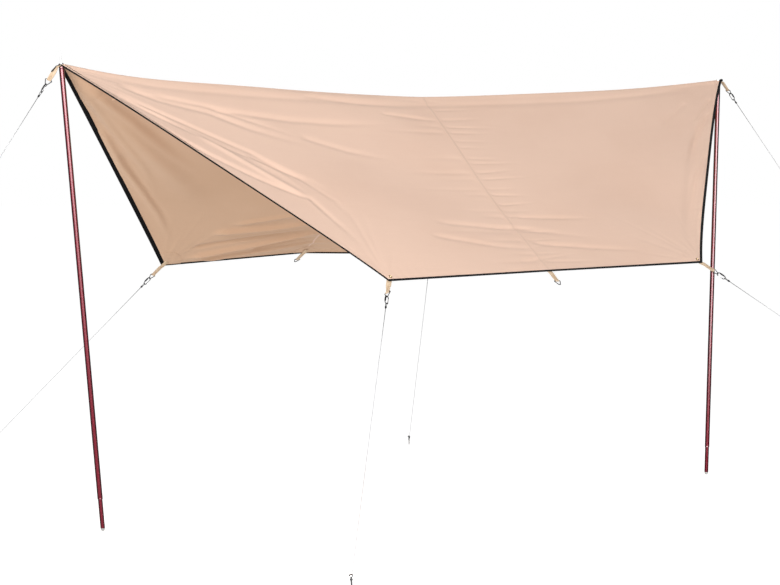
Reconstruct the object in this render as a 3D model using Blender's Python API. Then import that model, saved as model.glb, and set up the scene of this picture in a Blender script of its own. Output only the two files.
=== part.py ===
"""A camping tarp: a six-sided canopy on two telescopic poles, held out by six guy lines and pegs.

Metres, +Z up, with the ground at Z 0. The origin is the middle of the left pole's foot.
+X runs along the ridge from the left pole to the right one, and +Y towards the far long edge.
"""

import math

import bpy
from mathutils import Vector

GAP = 0.0003  # between pieces that touch

# Canopy: heights above the ground, places measured from the middle of the ridge
RIDGE_SPAN = 4.074  # pole top to pole top
MIDDLE_PLACE = 1.841  # of the middle of the ridge, from the left pole's foot
RIDGE_HEIGHT = 2.20  # top of the cloth over each pole
RIDGE_SAG = 0.125
TIP_REACH = {"left": 0.014, "right": 0.025}  # cloth that runs on past each pole
TIP_DROP = 0.004
CORNERS = {
    "near_left": (-0.932, -1.066, 1.201),
    "near_right": (1.003, -1.028, 1.240),
    "far_left": (-0.919, 1.060, 1.199),
    "far_right": (0.862, 1.116, 1.223),
}
EDGE_MIDDLES = {"near": (-0.010, -1.082, 1.224), "far": (-0.011, 1.097, 1.246)}
SEAM_SHIFT = 0.014  # the cross seam's place on the ridge
BELLY = 0.030  # how far each side hangs below a flat sheet
END_CURVE = {"near": 0.024, "far": 0.004}  # how far the end edges are cut in
CLOTH_DEPTH = 0.004
COLUMNS = 8  # of faces, from the seam to each tip
ROWS = 6  # of faces, from the ridge to the long edge

# Edge binding
BINDING_WIDTH = 0.012
BINDING_RISE = 0.001  # above the cloth
BINDING_DEPTH = 0.006

# Poles
LEFT_LEAN = 0.204  # from a pole's top in to its foot
RIGHT_LEAN = 0.070
TUBE_SIDES = 16
UPPER_RADIUS = 0.0125
UPPER_BORE = 0.0112
LOWER_RADIUS = 0.0108
LOWER_BORE = 0.0095
LOWER_SHOWN = 0.140  # of the lower tube, below the upper one
LOWER_HIDDEN = 0.300
TIP_LENGTH = 0.014
TIP_RADIUS = 0.0060  # of the flat that stands on the ground
SHOULDER_RADIUS = 0.0040  # of the cap's cone, at its top
SHOULDER_HEIGHT = 0.0125
CAP_BELOW_CLOTH = 0.0235  # from the top of the cloth down to the cap's base
CAP_PLUG = 0.012
SPIKE_RADIUS = 0.0028
SPIKES_ABOVE = {"left": 0.066, "right": 0.008}  # of each spike, above the cloth
EYELET_RADIUS = 0.0035

# Webbing loops, rings and hooks, one set after another along each pull
WEBBING_WIDTH = 0.025
WEBBING_DEPTH = 0.0016
WEBBING_PLY_GAP = 0.0004
WEBBING_LENGTH = 0.066  # from the cloth to the ring's bar
LEFT_WEBBING_LENGTH = 0.084  # the same, at the left end of the ridge
RING_WIRE = 0.0020
RING_WIDTH = 0.033
RING_LENGTH = 0.028
RING_BEND = 0.0060
HOOK_WIRE = 0.0020
HOOK_BEND = 0.0090
HOOK_STRAIGHT = 0.028
HOOK_STUB = 0.002  # straight wire past each bend, on the gate's side
GATE_RADIUS = 0.0015
KNUCKLE_RADIUS = 0.0020

# Guy lines and pegs
CORD_RADIUS = 0.0015
PEG_RADIUS = 0.0040
PEG_HEIGHT = 0.055
PEG_LEAN = math.radians(20.0)
PEG_HEAD_RADIUS = 0.0090
PEG_HEAD_DEPTH = 0.005
PEG_TIE_HEIGHT = 0.030  # where the line meets the peg
PEG_PLACES = {  # where each line would reach the ground, from the middle of the ridge
    "left": (-3.599, 0.0),
    "right": (4.074, 0.0),
    "near_left": (-1.767, -1.996),
    "near_right": (2.437, -2.148),
    "far_left": (-1.671, 2.059),
    "far_right": (1.474, 2.206),
}
HANGING = {"near": (0.0, -0.78, -0.62), "far": (0.0, 0.86, -0.51)}  # loops with no line
TURNED = {  # which way the sets face that hang turned about their pull
    "left": (-0.58, -0.71, 0.41),
    "near_left": (-0.82, 0.0, 0.57),
}
STARTS_NEARER = {"left": 0.0013}  # what a turned strap gains beside the narrow tip of the cloth

MIDDLE = Vector((MIDDLE_PLACE, 0.0, 0.0))
POLES_MIDDLE = RIDGE_SPAN / 2 - LEFT_LEAN - MIDDLE_PLACE  # from MIDDLE, between the pole tops
UP = Vector((0.0, 0.0, 1.0))

COLOURS = {  # colour, metallic, roughness
    "cloth": ((0.72, 0.55, 0.44), 0.0, 0.85),
    "binding": ((0.02, 0.02, 0.025), 0.0, 0.80),
    "webbing": ((0.78, 0.62, 0.45), 0.0, 0.80),
    "pole": ((0.42, 0.01, 0.05), 0.9, 0.30),
    "metal": ((0.62, 0.62, 0.62), 1.0, 0.30),
    "hook": ((0.02, 0.02, 0.02), 0.6, 0.35),
    "cord": ((0.75, 0.75, 0.75), 0.0, 0.80),
    "foot": ((0.55, 0.54, 0.52), 0.0, 0.50),
}


def clear_scene():
    for thing in list(bpy.data.objects):
        bpy.data.objects.remove(thing, do_unlink=True)


def finish_of(name):
    """The material of this name, made the first time that it is asked for."""
    found = bpy.data.materials.get(name)
    if found:
        return found
    colour, metallic, roughness = COLOURS[name]
    made = bpy.data.materials.new(name)
    made.use_nodes = True
    shader = made.node_tree.nodes["Principled BSDF"]
    shader.inputs["Base Color"].default_value = (*colour, 1.0)
    shader.inputs["Metallic"].default_value = metallic
    shader.inputs["Roughness"].default_value = roughness
    return made


def solid(name, points, faces, finish, smooth=False):
    """One closed body from points and faces that are turned outwards."""
    mesh = bpy.data.meshes.new(name)
    mesh.from_pydata([tuple(p) for p in points], [], faces)
    mesh.validate()
    made = bpy.data.objects.new(name, mesh)
    bpy.context.scene.collection.objects.link(made)
    mesh.materials.append(finish_of(finish))
    if smooth:
        mesh.shade_smooth()
        mesh.set_sharp_from_angle(angle=math.radians(40))
    return made


def across(direction, hint=UP):
    """Two unit directions square to this one and to each other."""
    first = (hint - direction * hint.dot(direction)).normalized()
    return first, direction.cross(first)


def ring_of(centre, side, other, radius, count):
    """Points of a circle, turned from side towards other."""
    turns = (2 * math.pi * i / count for i in range(count))
    return [centre + side * (radius * math.cos(t)) + other * (radius * math.sin(t)) for t in turns]


def lofted(name, rings, finish, closed=False, smooth=True):
    """A body through rings of equally many points, each turned right-handed about the way on."""
    count = len(rings[0])
    points = [p for ring in rings for p in ring]
    faces = []
    for i in range(len(rings) if closed else len(rings) - 1):
        here = i * count
        there = ((i + 1) % len(rings)) * count
        for j in range(count):
            k = (j + 1) % count
            faces.append((here + j, here + k, there + k, there + j))
    if not closed:
        faces.append(tuple(reversed(range(count))))
        last = (len(rings) - 1) * count
        faces.append(tuple(last + j for j in range(count)))
    return solid(name, points, faces, finish, smooth)


def swept(name, path, normal, section, finish, closed=False, smooth=True):
    """A body of one section along a path that lies in the plane square to normal.

    The section's points are (out, up): out lies in the plane, and up along normal.
    """
    rings = []
    for i, point in enumerate(path):
        before = path[i - 1] if i or closed else point
        after = path[(i + 1) % len(path)] if i < len(path) - 1 or closed else point
        way_in = (point - before).normalized() if before != point else None
        way_out = (after - point).normalized() if after != point else None
        ways = [w for w in (way_in, way_out) if w is not None]
        way = sum(ways, Vector()).normalized()
        stretch = 1 / max(way.dot(ways[0]), 0.5)  # keeps the width at a mitre
        out = normal.cross(way).normalized()
        rings.append([point + out * (a * stretch) + normal * b for a, b in section])
    return lofted(name, rings, finish, closed, smooth)


def round_section(radius, count):
    turns = (2 * math.pi * i / count for i in range(count))
    return [(radius * math.cos(t), radius * math.sin(t)) for t in turns]


def flat_section(width, depth):
    """Out is the depth, and up is the width."""
    w = width / 2
    d = depth / 2
    return [(d, -w), (d, w), (-d, w), (-d, -w)]


def tube(name, start, way, length, radius, bore, finish):
    """An open pipe of this outer and inner radius."""
    side, other = across(way, Vector((1.0, 0.0, 0.0)))
    end = start + way * length
    rings = [
        ring_of(start, side, other, radius, TUBE_SIDES),
        ring_of(end, side, other, radius, TUBE_SIDES),
        ring_of(end, side, other, bore, TUBE_SIDES),
        ring_of(start, side, other, bore, TUBE_SIDES),
    ]
    return lofted(name, rings, finish, closed=True)


def canopy_point(name):
    return MIDDLE + Vector(CORNERS[name])


def ridge_point(u):
    """The ridge from the left tip, at 0, to the right one, at 1."""
    left = POLES_MIDDLE - RIDGE_SPAN / 2 - TIP_REACH["left"]
    right = POLES_MIDDLE + RIDGE_SPAN / 2 + TIP_REACH["right"]
    x = left + (right - left) * u + SEAM_SHIFT * math.sin(math.pi * u) ** 2
    share = abs(x - POLES_MIDDLE) / (RIDGE_SPAN / 2)
    if share < 1:
        z = RIDGE_HEIGHT - RIDGE_SAG * (0.8 * (1 - share**2) + 0.2 * (1 - share))
    else:
        past = (share - 1) * RIDGE_SPAN / 2
        z = RIDGE_HEIGHT - TIP_DROP * past / TIP_REACH["left" if u < 0.5 else "right"]
    return MIDDLE + Vector((x, 0.0, z))


def edge_point(side, u):
    """A long edge, from its left corner to its right one."""
    left = canopy_point(side + "_left")
    middle = MIDDLE + Vector(EDGE_MIDDLES[side])
    right = canopy_point(side + "_right")
    return left.lerp(middle, 2 * u) if u <= 0.5 else middle.lerp(right, 2 * u - 1)


def cloth_point(side, u, v):
    """The top of the cloth: v runs from the ridge, at 0, to the long edge, at 1."""
    point = ridge_point(u).lerp(edge_point(side, u), v)
    point.z -= BELLY * math.sin(math.pi * v) * math.sin(math.pi * u) ** 0.7 if 0 < u < 1 else 0.0
    point.x += END_CURVE[side] * (1 - (2 * v - 1) ** 4) * (1 - 2 * u)
    return point


def drawn_in(side, u, v, rim):
    """A point of the cloth, moved in by rim from the cut edges that it lies on."""
    step = 0.002
    if v == 0:
        side = "near"  # so that both sides meet in the same point of the ridge
    along = cloth_point(side, min(u + step, 1), v) - cloth_point(side, max(u - step, 0), v)
    down = cloth_point(side, u, min(v + step, 1)) - cloth_point(side, u, max(v - step, 0))
    along.normalize()
    down.normalize()
    move = rim / along.cross(down).length
    point = cloth_point(side, u, v)
    if u == 0:
        point += along * move
    if u == 1:
        point -= along * move
    if v == 1:
        point -= down * move
    return point


def column_places():
    """The u of each column, in the left half and in the right half."""
    left = [0.5 * i / COLUMNS for i in range(COLUMNS + 1)]
    return left, [1 - u for u in reversed(left)]


def make_panel(side, half, places):
    """A quarter of the canopy, between the ridge, the cross seam and the binding."""
    name = f"canopy_{side}_{half}"
    rim = BINDING_WIDTH + GAP
    sign = -1 if side == "near" else 1
    top = []
    for u in places:
        for j in range(ROWS + 1):
            point = drawn_in(side, u, j / ROWS, rim)
            if j == 0:
                point.y += sign * GAP / 2
            if u == 0.5:
                point.x += (-1 if half == "left" else 1) * GAP / 2
            top.append(point)
    count = len(top)
    points = top + [p - UP * CLOTH_DEPTH for p in top]
    faces = []

    def index(i, j):
        return i * (ROWS + 1) + j

    for i in range(len(places) - 1):
        for j in range(ROWS):
            quad = [index(i, j), index(i + 1, j), index(i + 1, j + 1), index(i, j + 1)]
            under = [q + count for q in quad]
            faces.append(quad if side == "far" else quad[::-1])
            faces.append(under[::-1] if side == "far" else under)
    rim_loop = [index(i, 0) for i in range(len(places))]
    rim_loop += [index(len(places) - 1, j) for j in range(1, ROWS + 1)]
    rim_loop += [index(i, ROWS) for i in range(len(places) - 2, -1, -1)]
    rim_loop += [index(0, j) for j in range(ROWS - 1, 0, -1)]
    for here, there in zip(rim_loop, rim_loop[1:] + rim_loop[:1]):
        wall = [there, here, here + count, there + count]
        faces.append(wall if side == "far" else wall[::-1])
    return solid(name, points, faces, "cloth", smooth=True)


def make_eyelet_cutter(name, foot, top):
    """A guide that cuts the hole for a pole's spike."""
    way = (top - foot).normalized()
    side, other = across(way, Vector((1.0, 0.0, 0.0)))
    rings = [ring_of(top + way * h, side, other, EYELET_RADIUS, 12) for h in (-0.03, 0.03)]
    made = lofted(name, rings, "metal")
    made.hide_render = True
    made.display_type = "WIRE"
    return made


def cut(target, cutter):
    hole = target.modifiers.new("eyelet", "BOOLEAN")
    hole.operation = "DIFFERENCE"
    hole.solver = "EXACT"
    hole.object = cutter


def make_binding(name, stations):
    """A tape along an edge. Each station is (side, u, v, trim), and trim shortens a free end."""
    rings = []
    for side, u, v, trim in stations:
        outer = cloth_point(side, u, v)
        inner = drawn_in(side, u, v, BINDING_WIDTH)
        shift = Vector((trim, 0.0, 0.0))
        rise = UP * BINDING_RISE
        depth = UP * (BINDING_DEPTH - BINDING_RISE)
        ring = [outer + rise, inner + rise, inner - depth, outer - depth]
        rings.append([p + shift for p in ring])
    return lofted(name, rings, "binding", smooth=False)


def make_bindings(left, right, left_cutter):
    rows = [j / ROWS for j in range(ROWS + 1)]
    near_to_far = [("near", v) for v in reversed(rows)] + [("far", v) for v in rows[1:]]
    stations = [(s, 0.0, v, 0.0) for s, v in near_to_far]
    cut(make_binding("left_end_binding", stations), left_cutter)
    stations = [(s, 1.0, v, 0.0) for s, v in reversed(near_to_far)]
    make_binding("right_end_binding", stations)  # the right spike comes up inside it
    places = left + right[1:]
    for side in ("near", "far"):
        stations = []
        for u in places if side == "far" else reversed(places):
            trim = GAP * 2 if u == 0 else -GAP * 2 if u == 1 else 0.0
            stations.append((side, u, 1.0, trim))
        make_binding(side + "_edge_binding", stations)


def make_pole(half, foot, top):
    """A telescopic pole, from its flat tip on the ground to the spike above the cloth."""
    way = (top - foot).normalized()
    side, other = across(way, Vector((1.0, 0.0, 0.0)))
    level = Vector((1.0, 0.0, 0.0)), Vector((0.0, 1.0, 0.0))
    tip = [
        ring_of(foot, *level, TIP_RADIUS, TUBE_SIDES),
        ring_of(foot + way * TIP_LENGTH, side, other, LOWER_RADIUS, TUBE_SIDES),
    ]
    lofted(f"{half}_foot_tip", tip, "foot")
    lower = foot + way * (TIP_LENGTH + GAP)
    length = LOWER_SHOWN + LOWER_HIDDEN
    tube(f"{half}_lower_tube", lower, way, length, LOWER_RADIUS, LOWER_BORE, "pole")
    upper = lower + way * LOWER_SHOWN
    cap_base = top - way * CAP_BELOW_CLOTH
    length = (cap_base - upper).length - GAP
    tube(f"{half}_upper_tube", upper, way, length, UPPER_RADIUS, UPPER_BORE, "pole")
    turned = (
        (-CAP_PLUG, UPPER_BORE - GAP),
        (0.0, UPPER_BORE - GAP),
        (0.0, UPPER_RADIUS),
        (SHOULDER_HEIGHT, SHOULDER_RADIUS),
        (SHOULDER_HEIGHT, SPIKE_RADIUS),
        (CAP_BELOW_CLOTH + SPIKES_ABOVE[half], SPIKE_RADIUS * 0.6),
    )
    rings = [ring_of(cap_base + way * h, side, other, r, TUBE_SIDES) for h, r in turned]
    lofted(f"{half}_pole_spike", rings, "metal")


def make_webbing(place, start, bar, pull, normal):
    """A strap doubled round the bar of its ring."""
    ply = (WEBBING_DEPTH + WEBBING_PLY_GAP) / 2
    round_bar = RING_WIRE + GAP + WEBBING_DEPTH / 2
    path = [start + normal * ply, bar - pull * (round_bar * 3) + normal * ply]
    for i in range(7):
        turn = math.radians(60 + 40 * i)
        back = bar - pull * (round_bar * math.cos(turn))
        path.append(back + normal * (round_bar * math.sin(turn)))
    path += [bar - pull * (round_bar * 3) - normal * ply, start - normal * ply]
    section = flat_section(WEBBING_WIDTH, WEBBING_DEPTH)
    swept(f"{place}_webbing", path, pull.cross(normal), section, "webbing")


def make_ring(place, bar, pull, normal):
    """A three-cornered wire ring, its straight bar in the webbing and its point on the pull."""
    wide = pull.cross(normal)
    half = RING_WIDTH / 2
    corner = RING_BEND / 2
    path = []
    point = bar + pull * RING_LENGTH
    slope = math.atan2(half, RING_LENGTH)  # between the pull and each leg
    tip = point - pull * RING_BEND
    for i in range(6):
        turn = -(math.pi / 2 - slope) + (math.pi - 2 * slope) * i / 5
        path.append(tip + pull * (RING_BEND * math.cos(turn)) + wide * (RING_BEND * math.sin(turn)))
    for sign in (1, -1):
        centre = bar + pull * corner + wide * (sign * (half - corner))
        for i in range(5):
            share = i / 4 if sign == 1 else 1 - i / 4
            turn = (math.pi / 2 - slope) + (math.pi / 2 + slope) * share
            path.append(centre + pull * (corner * math.cos(turn)) + wide * (sign * corner * math.sin(turn)))
    swept(f"{place}_ring", path, normal, round_section(RING_WIRE, 6), "metal", closed=True)


def make_hook(place, start, pull, normal):
    """A snap hook round the ring's point. Its gate closes the lower side, on a hinge near the line."""
    wide = pull.cross(normal)
    first = start + pull * HOOK_BEND
    second = first + pull * HOOK_STRAIGHT
    path = [first - normal * HOOK_BEND + pull * HOOK_STUB]
    for i in range(9):
        turn = math.pi * i / 8
        path.append(first - normal * (HOOK_BEND * math.cos(turn)) - pull * (HOOK_BEND * math.sin(turn)))
    for i in range(9):
        turn = math.pi * i / 8
        path.append(second + normal * (HOOK_BEND * math.cos(turn)) + pull * (HOOK_BEND * math.sin(turn)))
    path.append(second - normal * HOOK_BEND - pull * HOOK_STUB)
    swept(f"{place}_hook", path, wide, round_section(HOOK_WIRE, 8), "hook")
    hinge = second - normal * HOOK_BEND - pull * (HOOK_STUB + GAP + KNUCKLE_RADIUS)
    nose = first - normal * HOOK_BEND + pull * (HOOK_STUB + GAP)
    make_gate(place, hinge, nose, pull, normal)
    return second + pull * (HOOK_BEND + HOOK_WIRE)


def make_gate(place, hinge, nose, pull, normal):
    """A flat bar with a round knuckle that turns on the hinge."""
    wide = pull.cross(normal)
    start = math.asin(GATE_RADIUS / KNUCKLE_RADIUS)
    outline = [nose + normal * GATE_RADIUS, nose - normal * GATE_RADIUS]
    for i in range(9):
        turn = start + (2 * math.pi - 2 * start) * i / 8
        across_hinge = pull * math.cos(turn) + normal * math.sin(turn)
        outline.append(hinge - across_hinge * KNUCKLE_RADIUS)
    rings = [[p + wide * (s * GATE_RADIUS) for p in outline] for s in (-1, 1)]
    lofted(f"{place}_gate", rings, "metal", smooth=False)


def make_guy(place, start, spot):
    """A line from its hook down to its peg, and the peg."""
    ground = MIDDLE + Vector((*spot, 0.0))
    down = (ground - start).normalized()
    outward = Vector((down.x, down.y, 0.0)).normalized()
    lean = UP * math.cos(PEG_LEAN) + outward * math.sin(PEG_LEAN)
    tie = ground - down * (PEG_TIE_HEIGHT / -down.z)
    slant = down.dot(lean)
    from_axis = (PEG_RADIUS + GAP + CORD_RADIUS * abs(slant)) / math.sqrt(1 - slant**2)
    end = tie - down * from_axis
    side, other = across(down)
    first = start + down * GAP
    rings = [ring_of(p, side, other, CORD_RADIUS, 8) for p in (first, first.lerp(end, 0.5), end)]
    lofted(f"{place}_guy_line", rings, "cord")
    foot = tie - lean * (PEG_TIE_HEIGHT / lean.z)
    peg_side, peg_other = across(lean, outward)
    neck = foot + lean * (PEG_HEIGHT - PEG_HEAD_DEPTH)
    top = foot + lean * PEG_HEIGHT
    rings = [ring_of(foot, outward, UP.cross(outward), PEG_RADIUS, 12)]
    for centre, radius in ((neck, PEG_RADIUS), (neck, PEG_HEAD_RADIUS), (top, PEG_HEAD_RADIUS)):
        rings.append(ring_of(centre, peg_side, peg_other, radius, 12))
    lofted(f"{place}_peg", rings, "metal")


def start_clear(pull, normal):
    """How far along the pull a strap starts, so that its end clears the upright face it leaves."""
    outward = pull.cross(normal).cross(UP).normalized()
    depth = WEBBING_DEPTH + WEBBING_PLY_GAP / 2
    return (GAP + depth * abs(normal.dot(outward))) / abs(pull.dot(outward))


def make_set(place, cloth_edge, pull, hint, peg=None):
    """The webbing, ring, hook, line and peg at one place on the canopy's edge."""
    pull = pull.normalized()
    hint = Vector(TURNED.get(place, hint))
    normal = (hint - pull * hint.dot(pull)).normalized()
    start = cloth_edge + pull * (start_clear(pull, normal) - STARTS_NEARER.get(place, 0.0))
    bar = start + pull * (LEFT_WEBBING_LENGTH if place == "left" else WEBBING_LENGTH)
    make_webbing(place, start, bar, pull, normal)
    make_ring(place, bar, pull, normal)
    if peg is None:
        return
    hooked = bar + pull * (RING_LENGTH - RING_WIRE - HOOK_WIRE - GAP)
    line_start = make_hook(place, hooked, pull, normal)
    make_guy(place, line_start, peg)


def make_sets():
    drop = UP * (BINDING_DEPTH / 2 - BINDING_RISE)
    for half, u, sign in (("left", 0.0, -1), ("right", 1.0, 1)):
        tip = ridge_point(u) - drop
        ground = MIDDLE + Vector((*PEG_PLACES[half], 0.0))
        make_set(half, tip, ground - tip, Vector((sign, 0.0, 1.0)), PEG_PLACES[half])
    for place in CORNERS:
        side = place.split("_")[0]
        corner = canopy_point(place) - drop
        ground = MIDDLE + Vector((*PEG_PLACES[place], 0.0))
        sign = -1 if side == "near" else 1
        make_set(place, corner, ground - corner, Vector((0.0, sign * 0.68, 0.73)), PEG_PLACES[place])
    for side, hang in HANGING.items():
        sign = -1 if side == "near" else 1
        spot = MIDDLE + Vector(EDGE_MIDDLES[side]) - drop
        make_set(side + "_middle", spot, Vector(hang), Vector((0.0, sign * 0.68, 0.73)))


def make_canopy():
    left, right = column_places()
    foot_left, top_left, foot_right, top_right = pole_ends()
    cutters = {
        "left": make_eyelet_cutter("left_eyelet_guide", foot_left, top_left),
        "right": make_eyelet_cutter("right_eyelet_guide", foot_right, top_right),
    }
    for side in ("near", "far"):
        for half, places in (("left", left), ("right", right)):
            cut(make_panel(side, half, places), cutters[half])
    make_bindings(left, right, cutters["left"])


def pole_ends():
    top_left = Vector((-LEFT_LEAN, 0.0, RIDGE_HEIGHT))
    top_right = top_left + Vector((RIDGE_SPAN, 0.0, 0.0))
    return Vector(), top_left, top_right - Vector((RIGHT_LEAN, 0.0, RIDGE_HEIGHT)), top_right


def main():
    clear_scene()
    make_canopy()
    foot_left, top_left, foot_right, top_right = pole_ends()
    make_pole("left", foot_left, top_left)
    make_pole("right", foot_right, top_right)
    make_sets()


main()
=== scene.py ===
import math

import bmesh
import bpy
import numpy as np
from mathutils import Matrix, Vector


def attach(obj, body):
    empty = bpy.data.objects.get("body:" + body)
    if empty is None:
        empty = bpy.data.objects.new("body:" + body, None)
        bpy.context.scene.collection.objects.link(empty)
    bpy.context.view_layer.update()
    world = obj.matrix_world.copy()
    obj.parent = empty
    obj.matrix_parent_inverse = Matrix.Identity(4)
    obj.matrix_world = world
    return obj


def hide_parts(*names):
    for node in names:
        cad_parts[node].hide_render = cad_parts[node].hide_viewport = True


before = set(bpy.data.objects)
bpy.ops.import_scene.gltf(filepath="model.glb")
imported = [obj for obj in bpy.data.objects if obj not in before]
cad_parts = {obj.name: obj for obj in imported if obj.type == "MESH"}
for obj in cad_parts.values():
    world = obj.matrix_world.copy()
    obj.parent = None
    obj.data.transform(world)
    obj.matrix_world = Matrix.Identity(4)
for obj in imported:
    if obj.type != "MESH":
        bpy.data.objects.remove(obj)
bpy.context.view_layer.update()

TARP = "pitched_tarp"
UP = np.array((0.0, 0.0, 1.0))
SIDES = {"near": -1, "far": 1}

# The camera, fitted to the photo of 780 by 585 pixels
CAMERA_PLACE = (-5.593, -10.486, 1.740)
CAMERA_YAW = math.radians(34.637)
CAMERA_PITCH = math.radians(2.959)
FOCAL_PIXELS = 2510.3
PHOTO_WIDTH = 780

# The canopy, as the CAD has it. Places are from the middle of the ridge
GAP = 0.0003
RIDGE_SPAN = 4.074
MIDDLE_PLACE = 1.841
RIDGE_HEIGHT = 2.20
RIDGE_SAG = 0.125
TIP_REACH = {"left": 0.014, "right": 0.025}
TIP_DROP = 0.004
LEFT_LEAN = 0.204
RIGHT_LEAN = 0.070
CORNERS = {
    "near_left": (-0.932, -1.066, 1.201),
    "near_right": (1.003, -1.028, 1.240),
    "far_left": (-0.919, 1.060, 1.199),
    "far_right": (0.862, 1.116, 1.223),
}
EDGE_MIDDLES = {"near": (-0.010, -1.082, 1.224), "far": (-0.011, 1.097, 1.246)}
SEAM_SHIFT = 0.014
BELLY = 0.030
END_CURVE = {"near": 0.024, "far": 0.004}
MIDDLE = np.array((MIDDLE_PLACE, 0.0, 0.0))
POLES_MIDDLE = RIDGE_SPAN / 2 - LEFT_LEAN - MIDDLE_PLACE
TIPS = {
    "left": POLES_MIDDLE - RIDGE_SPAN / 2 - TIP_REACH["left"],
    "right": POLES_MIDDLE + RIDGE_SPAN / 2 + TIP_REACH["right"],
}
RIDGE_LENGTH = TIPS["right"] - TIPS["left"]
SLOPE = 1.44  # metres down a side, from the ridge to the long edge
HALF_CLOTH = 0.0005

# Hardware, as the CAD has it
UPPER_RADIUS = 0.0125
UPPER_BORE = 0.0112
LOWER_RADIUS = 0.0108
LOWER_BORE = 0.0095
LOWER_SHOWN = 0.140
LOWER_HIDDEN = 0.300
TIP_LENGTH = 0.014
TIP_RADIUS = 0.0060
SHOULDER_RADIUS = 0.0040
SHOULDER_HEIGHT = 0.0125
CAP_BELOW_CLOTH = 0.0235
CAP_PLUG = 0.012
SPIKE_RADIUS = 0.0028
SPIKES_SHOWN = {"left": 0.057, "right": 0.005}
WEBBING_WIDTH = 0.025
WEBBING_DEPTH = 0.0016
WEBBING_PLY_GAP = 0.0004
WEBBING_LENGTH = 0.066
LEFT_WEBBING_LENGTH = 0.084
RING_WIRE = 0.0020
RING_WIDTH = 0.033
RING_LENGTH = 0.028
RING_BEND = 0.0060
HOOK_WIRE = 0.0020
HOOK_BEND = 0.0090
HOOK_STRAIGHT = 0.028
HOOK_STUB = 0.002
GATE_RADIUS = 0.0015
KNUCKLE_RADIUS = 0.0020
CORD_RADIUS = 0.0015
PEG_RADIUS = 0.0040
PEG_HEIGHT = 0.055
PEG_LEAN = math.radians(20.0)
PEG_HEAD_RADIUS = 0.0090
PEG_HEAD_DEPTH = 0.005
PEG_TIE_HEIGHT = 0.030
PEG_PLACES = {
    "left": (-3.599, 0.0),
    "right": (4.074, 0.0),
    "near_left": (-1.767, -1.996),
    "near_right": (2.437, -2.148),
    "far_left": (-1.671, 2.059),
    "far_right": (1.474, 2.206),
}
HANGING = {"near": (0.0, -0.78, -0.62), "far": (0.0, 0.86, -0.51)}
TURNED = {
    "left": (-0.58, -0.71, 0.41),
    "near_left": (-0.82, 0.0, 0.57),
}
STARTS_NEARER = {"left": 0.0013}
BINDING_DROP = 0.002  # from the top of the cloth to the middle of the CAD's binding

random = np.random.default_rng(11)


def unit(v):
    v = np.asarray(v, float)
    return v / np.linalg.norm(v, axis=-1, keepdims=True)


def smooth_step(x):
    x = np.clip(x, 0.0, 1.0)
    return x * x * (3 - 2 * x)


# Materials


class Look:
    """A node-based material with one Principled shader."""

    def __init__(self, name, colour, roughness, metallic=0.0, specular=0.5):
        self.made = bpy.data.materials.new(name)
        self.made.use_nodes = True
        self.tree = self.made.node_tree
        self.shader = self.tree.nodes["Principled BSDF"]
        self.set("Base Color", (*colour, 1.0))
        self.set("Roughness", roughness)
        self.set("Metallic", metallic)
        self.set("Specular IOR Level", specular)

    def set(self, socket, value):
        self.shader.inputs[socket].default_value = value

    def add(self, kind, settings=(), **inputs):
        node = self.tree.nodes.new(kind)
        for key, value in dict(settings).items():
            setattr(node, key, value)
        for key, value in inputs.items():
            socket = node.inputs[int(key[1:])] if key[0] == "_" else node.inputs[key]
            if isinstance(value, bpy.types.NodeSocket):
                self.tree.links.new(value, socket)
            else:
                socket.default_value = value
        return node.outputs

    def link(self, output, socket):
        self.tree.links.new(output, self.shader.inputs[socket])

    def math(self, operation, a, b=0.0):
        return self.add("ShaderNodeMath", {"operation": operation}, _0=a, _1=b)[0]

    def coordinates(self, scale=(1, 1, 1), source="UV"):
        there = self.add("ShaderNodeTexCoord")[source]
        return self.add("ShaderNodeMapping", _0=there, Scale=scale)[0]

    def noise(self, where, scale, detail=3.0, roughness=0.5):
        out = self.add("ShaderNodeTexNoise", Vector=where, Scale=scale, Detail=detail, Roughness=roughness)
        return out[0]

    def ramp(self, fac, stops):
        node = self.tree.nodes.new("ShaderNodeValToRGB")
        elements = node.color_ramp.elements
        while len(elements) < len(stops):
            elements.new(0.5)
        for element, (place, colour) in zip(elements, stops):
            element.position = place
            element.color = (*colour, 1.0)
        self.tree.links.new(fac, node.inputs[0])
        return node.outputs[0]

    def bump(self, height, distance, strength=1.0, onto=None):
        inputs = {"Height": height, "Distance": distance, "Strength": strength}
        if onto is not None:
            inputs["Normal"] = onto
        return self.add("ShaderNodeBump", **inputs)[0]

    def weave(self, pitch, source="UV"):
        """A plain weave: threads over and under in a chequer, from 0 to 1."""
        there = self.add("ShaderNodeTexCoord")[source]
        split = self.add("ShaderNodeSeparateXYZ", _0=there)
        waves = []
        for axis in (0, 1):
            turn = self.math("MULTIPLY", split[axis], 2 * math.pi / pitch)
            waves.append(self.math("SINE", turn))
        product = self.math("MULTIPLY", waves[0], waves[1])
        return self.math("MULTIPLY_ADD", product, 0.5), waves


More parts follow.
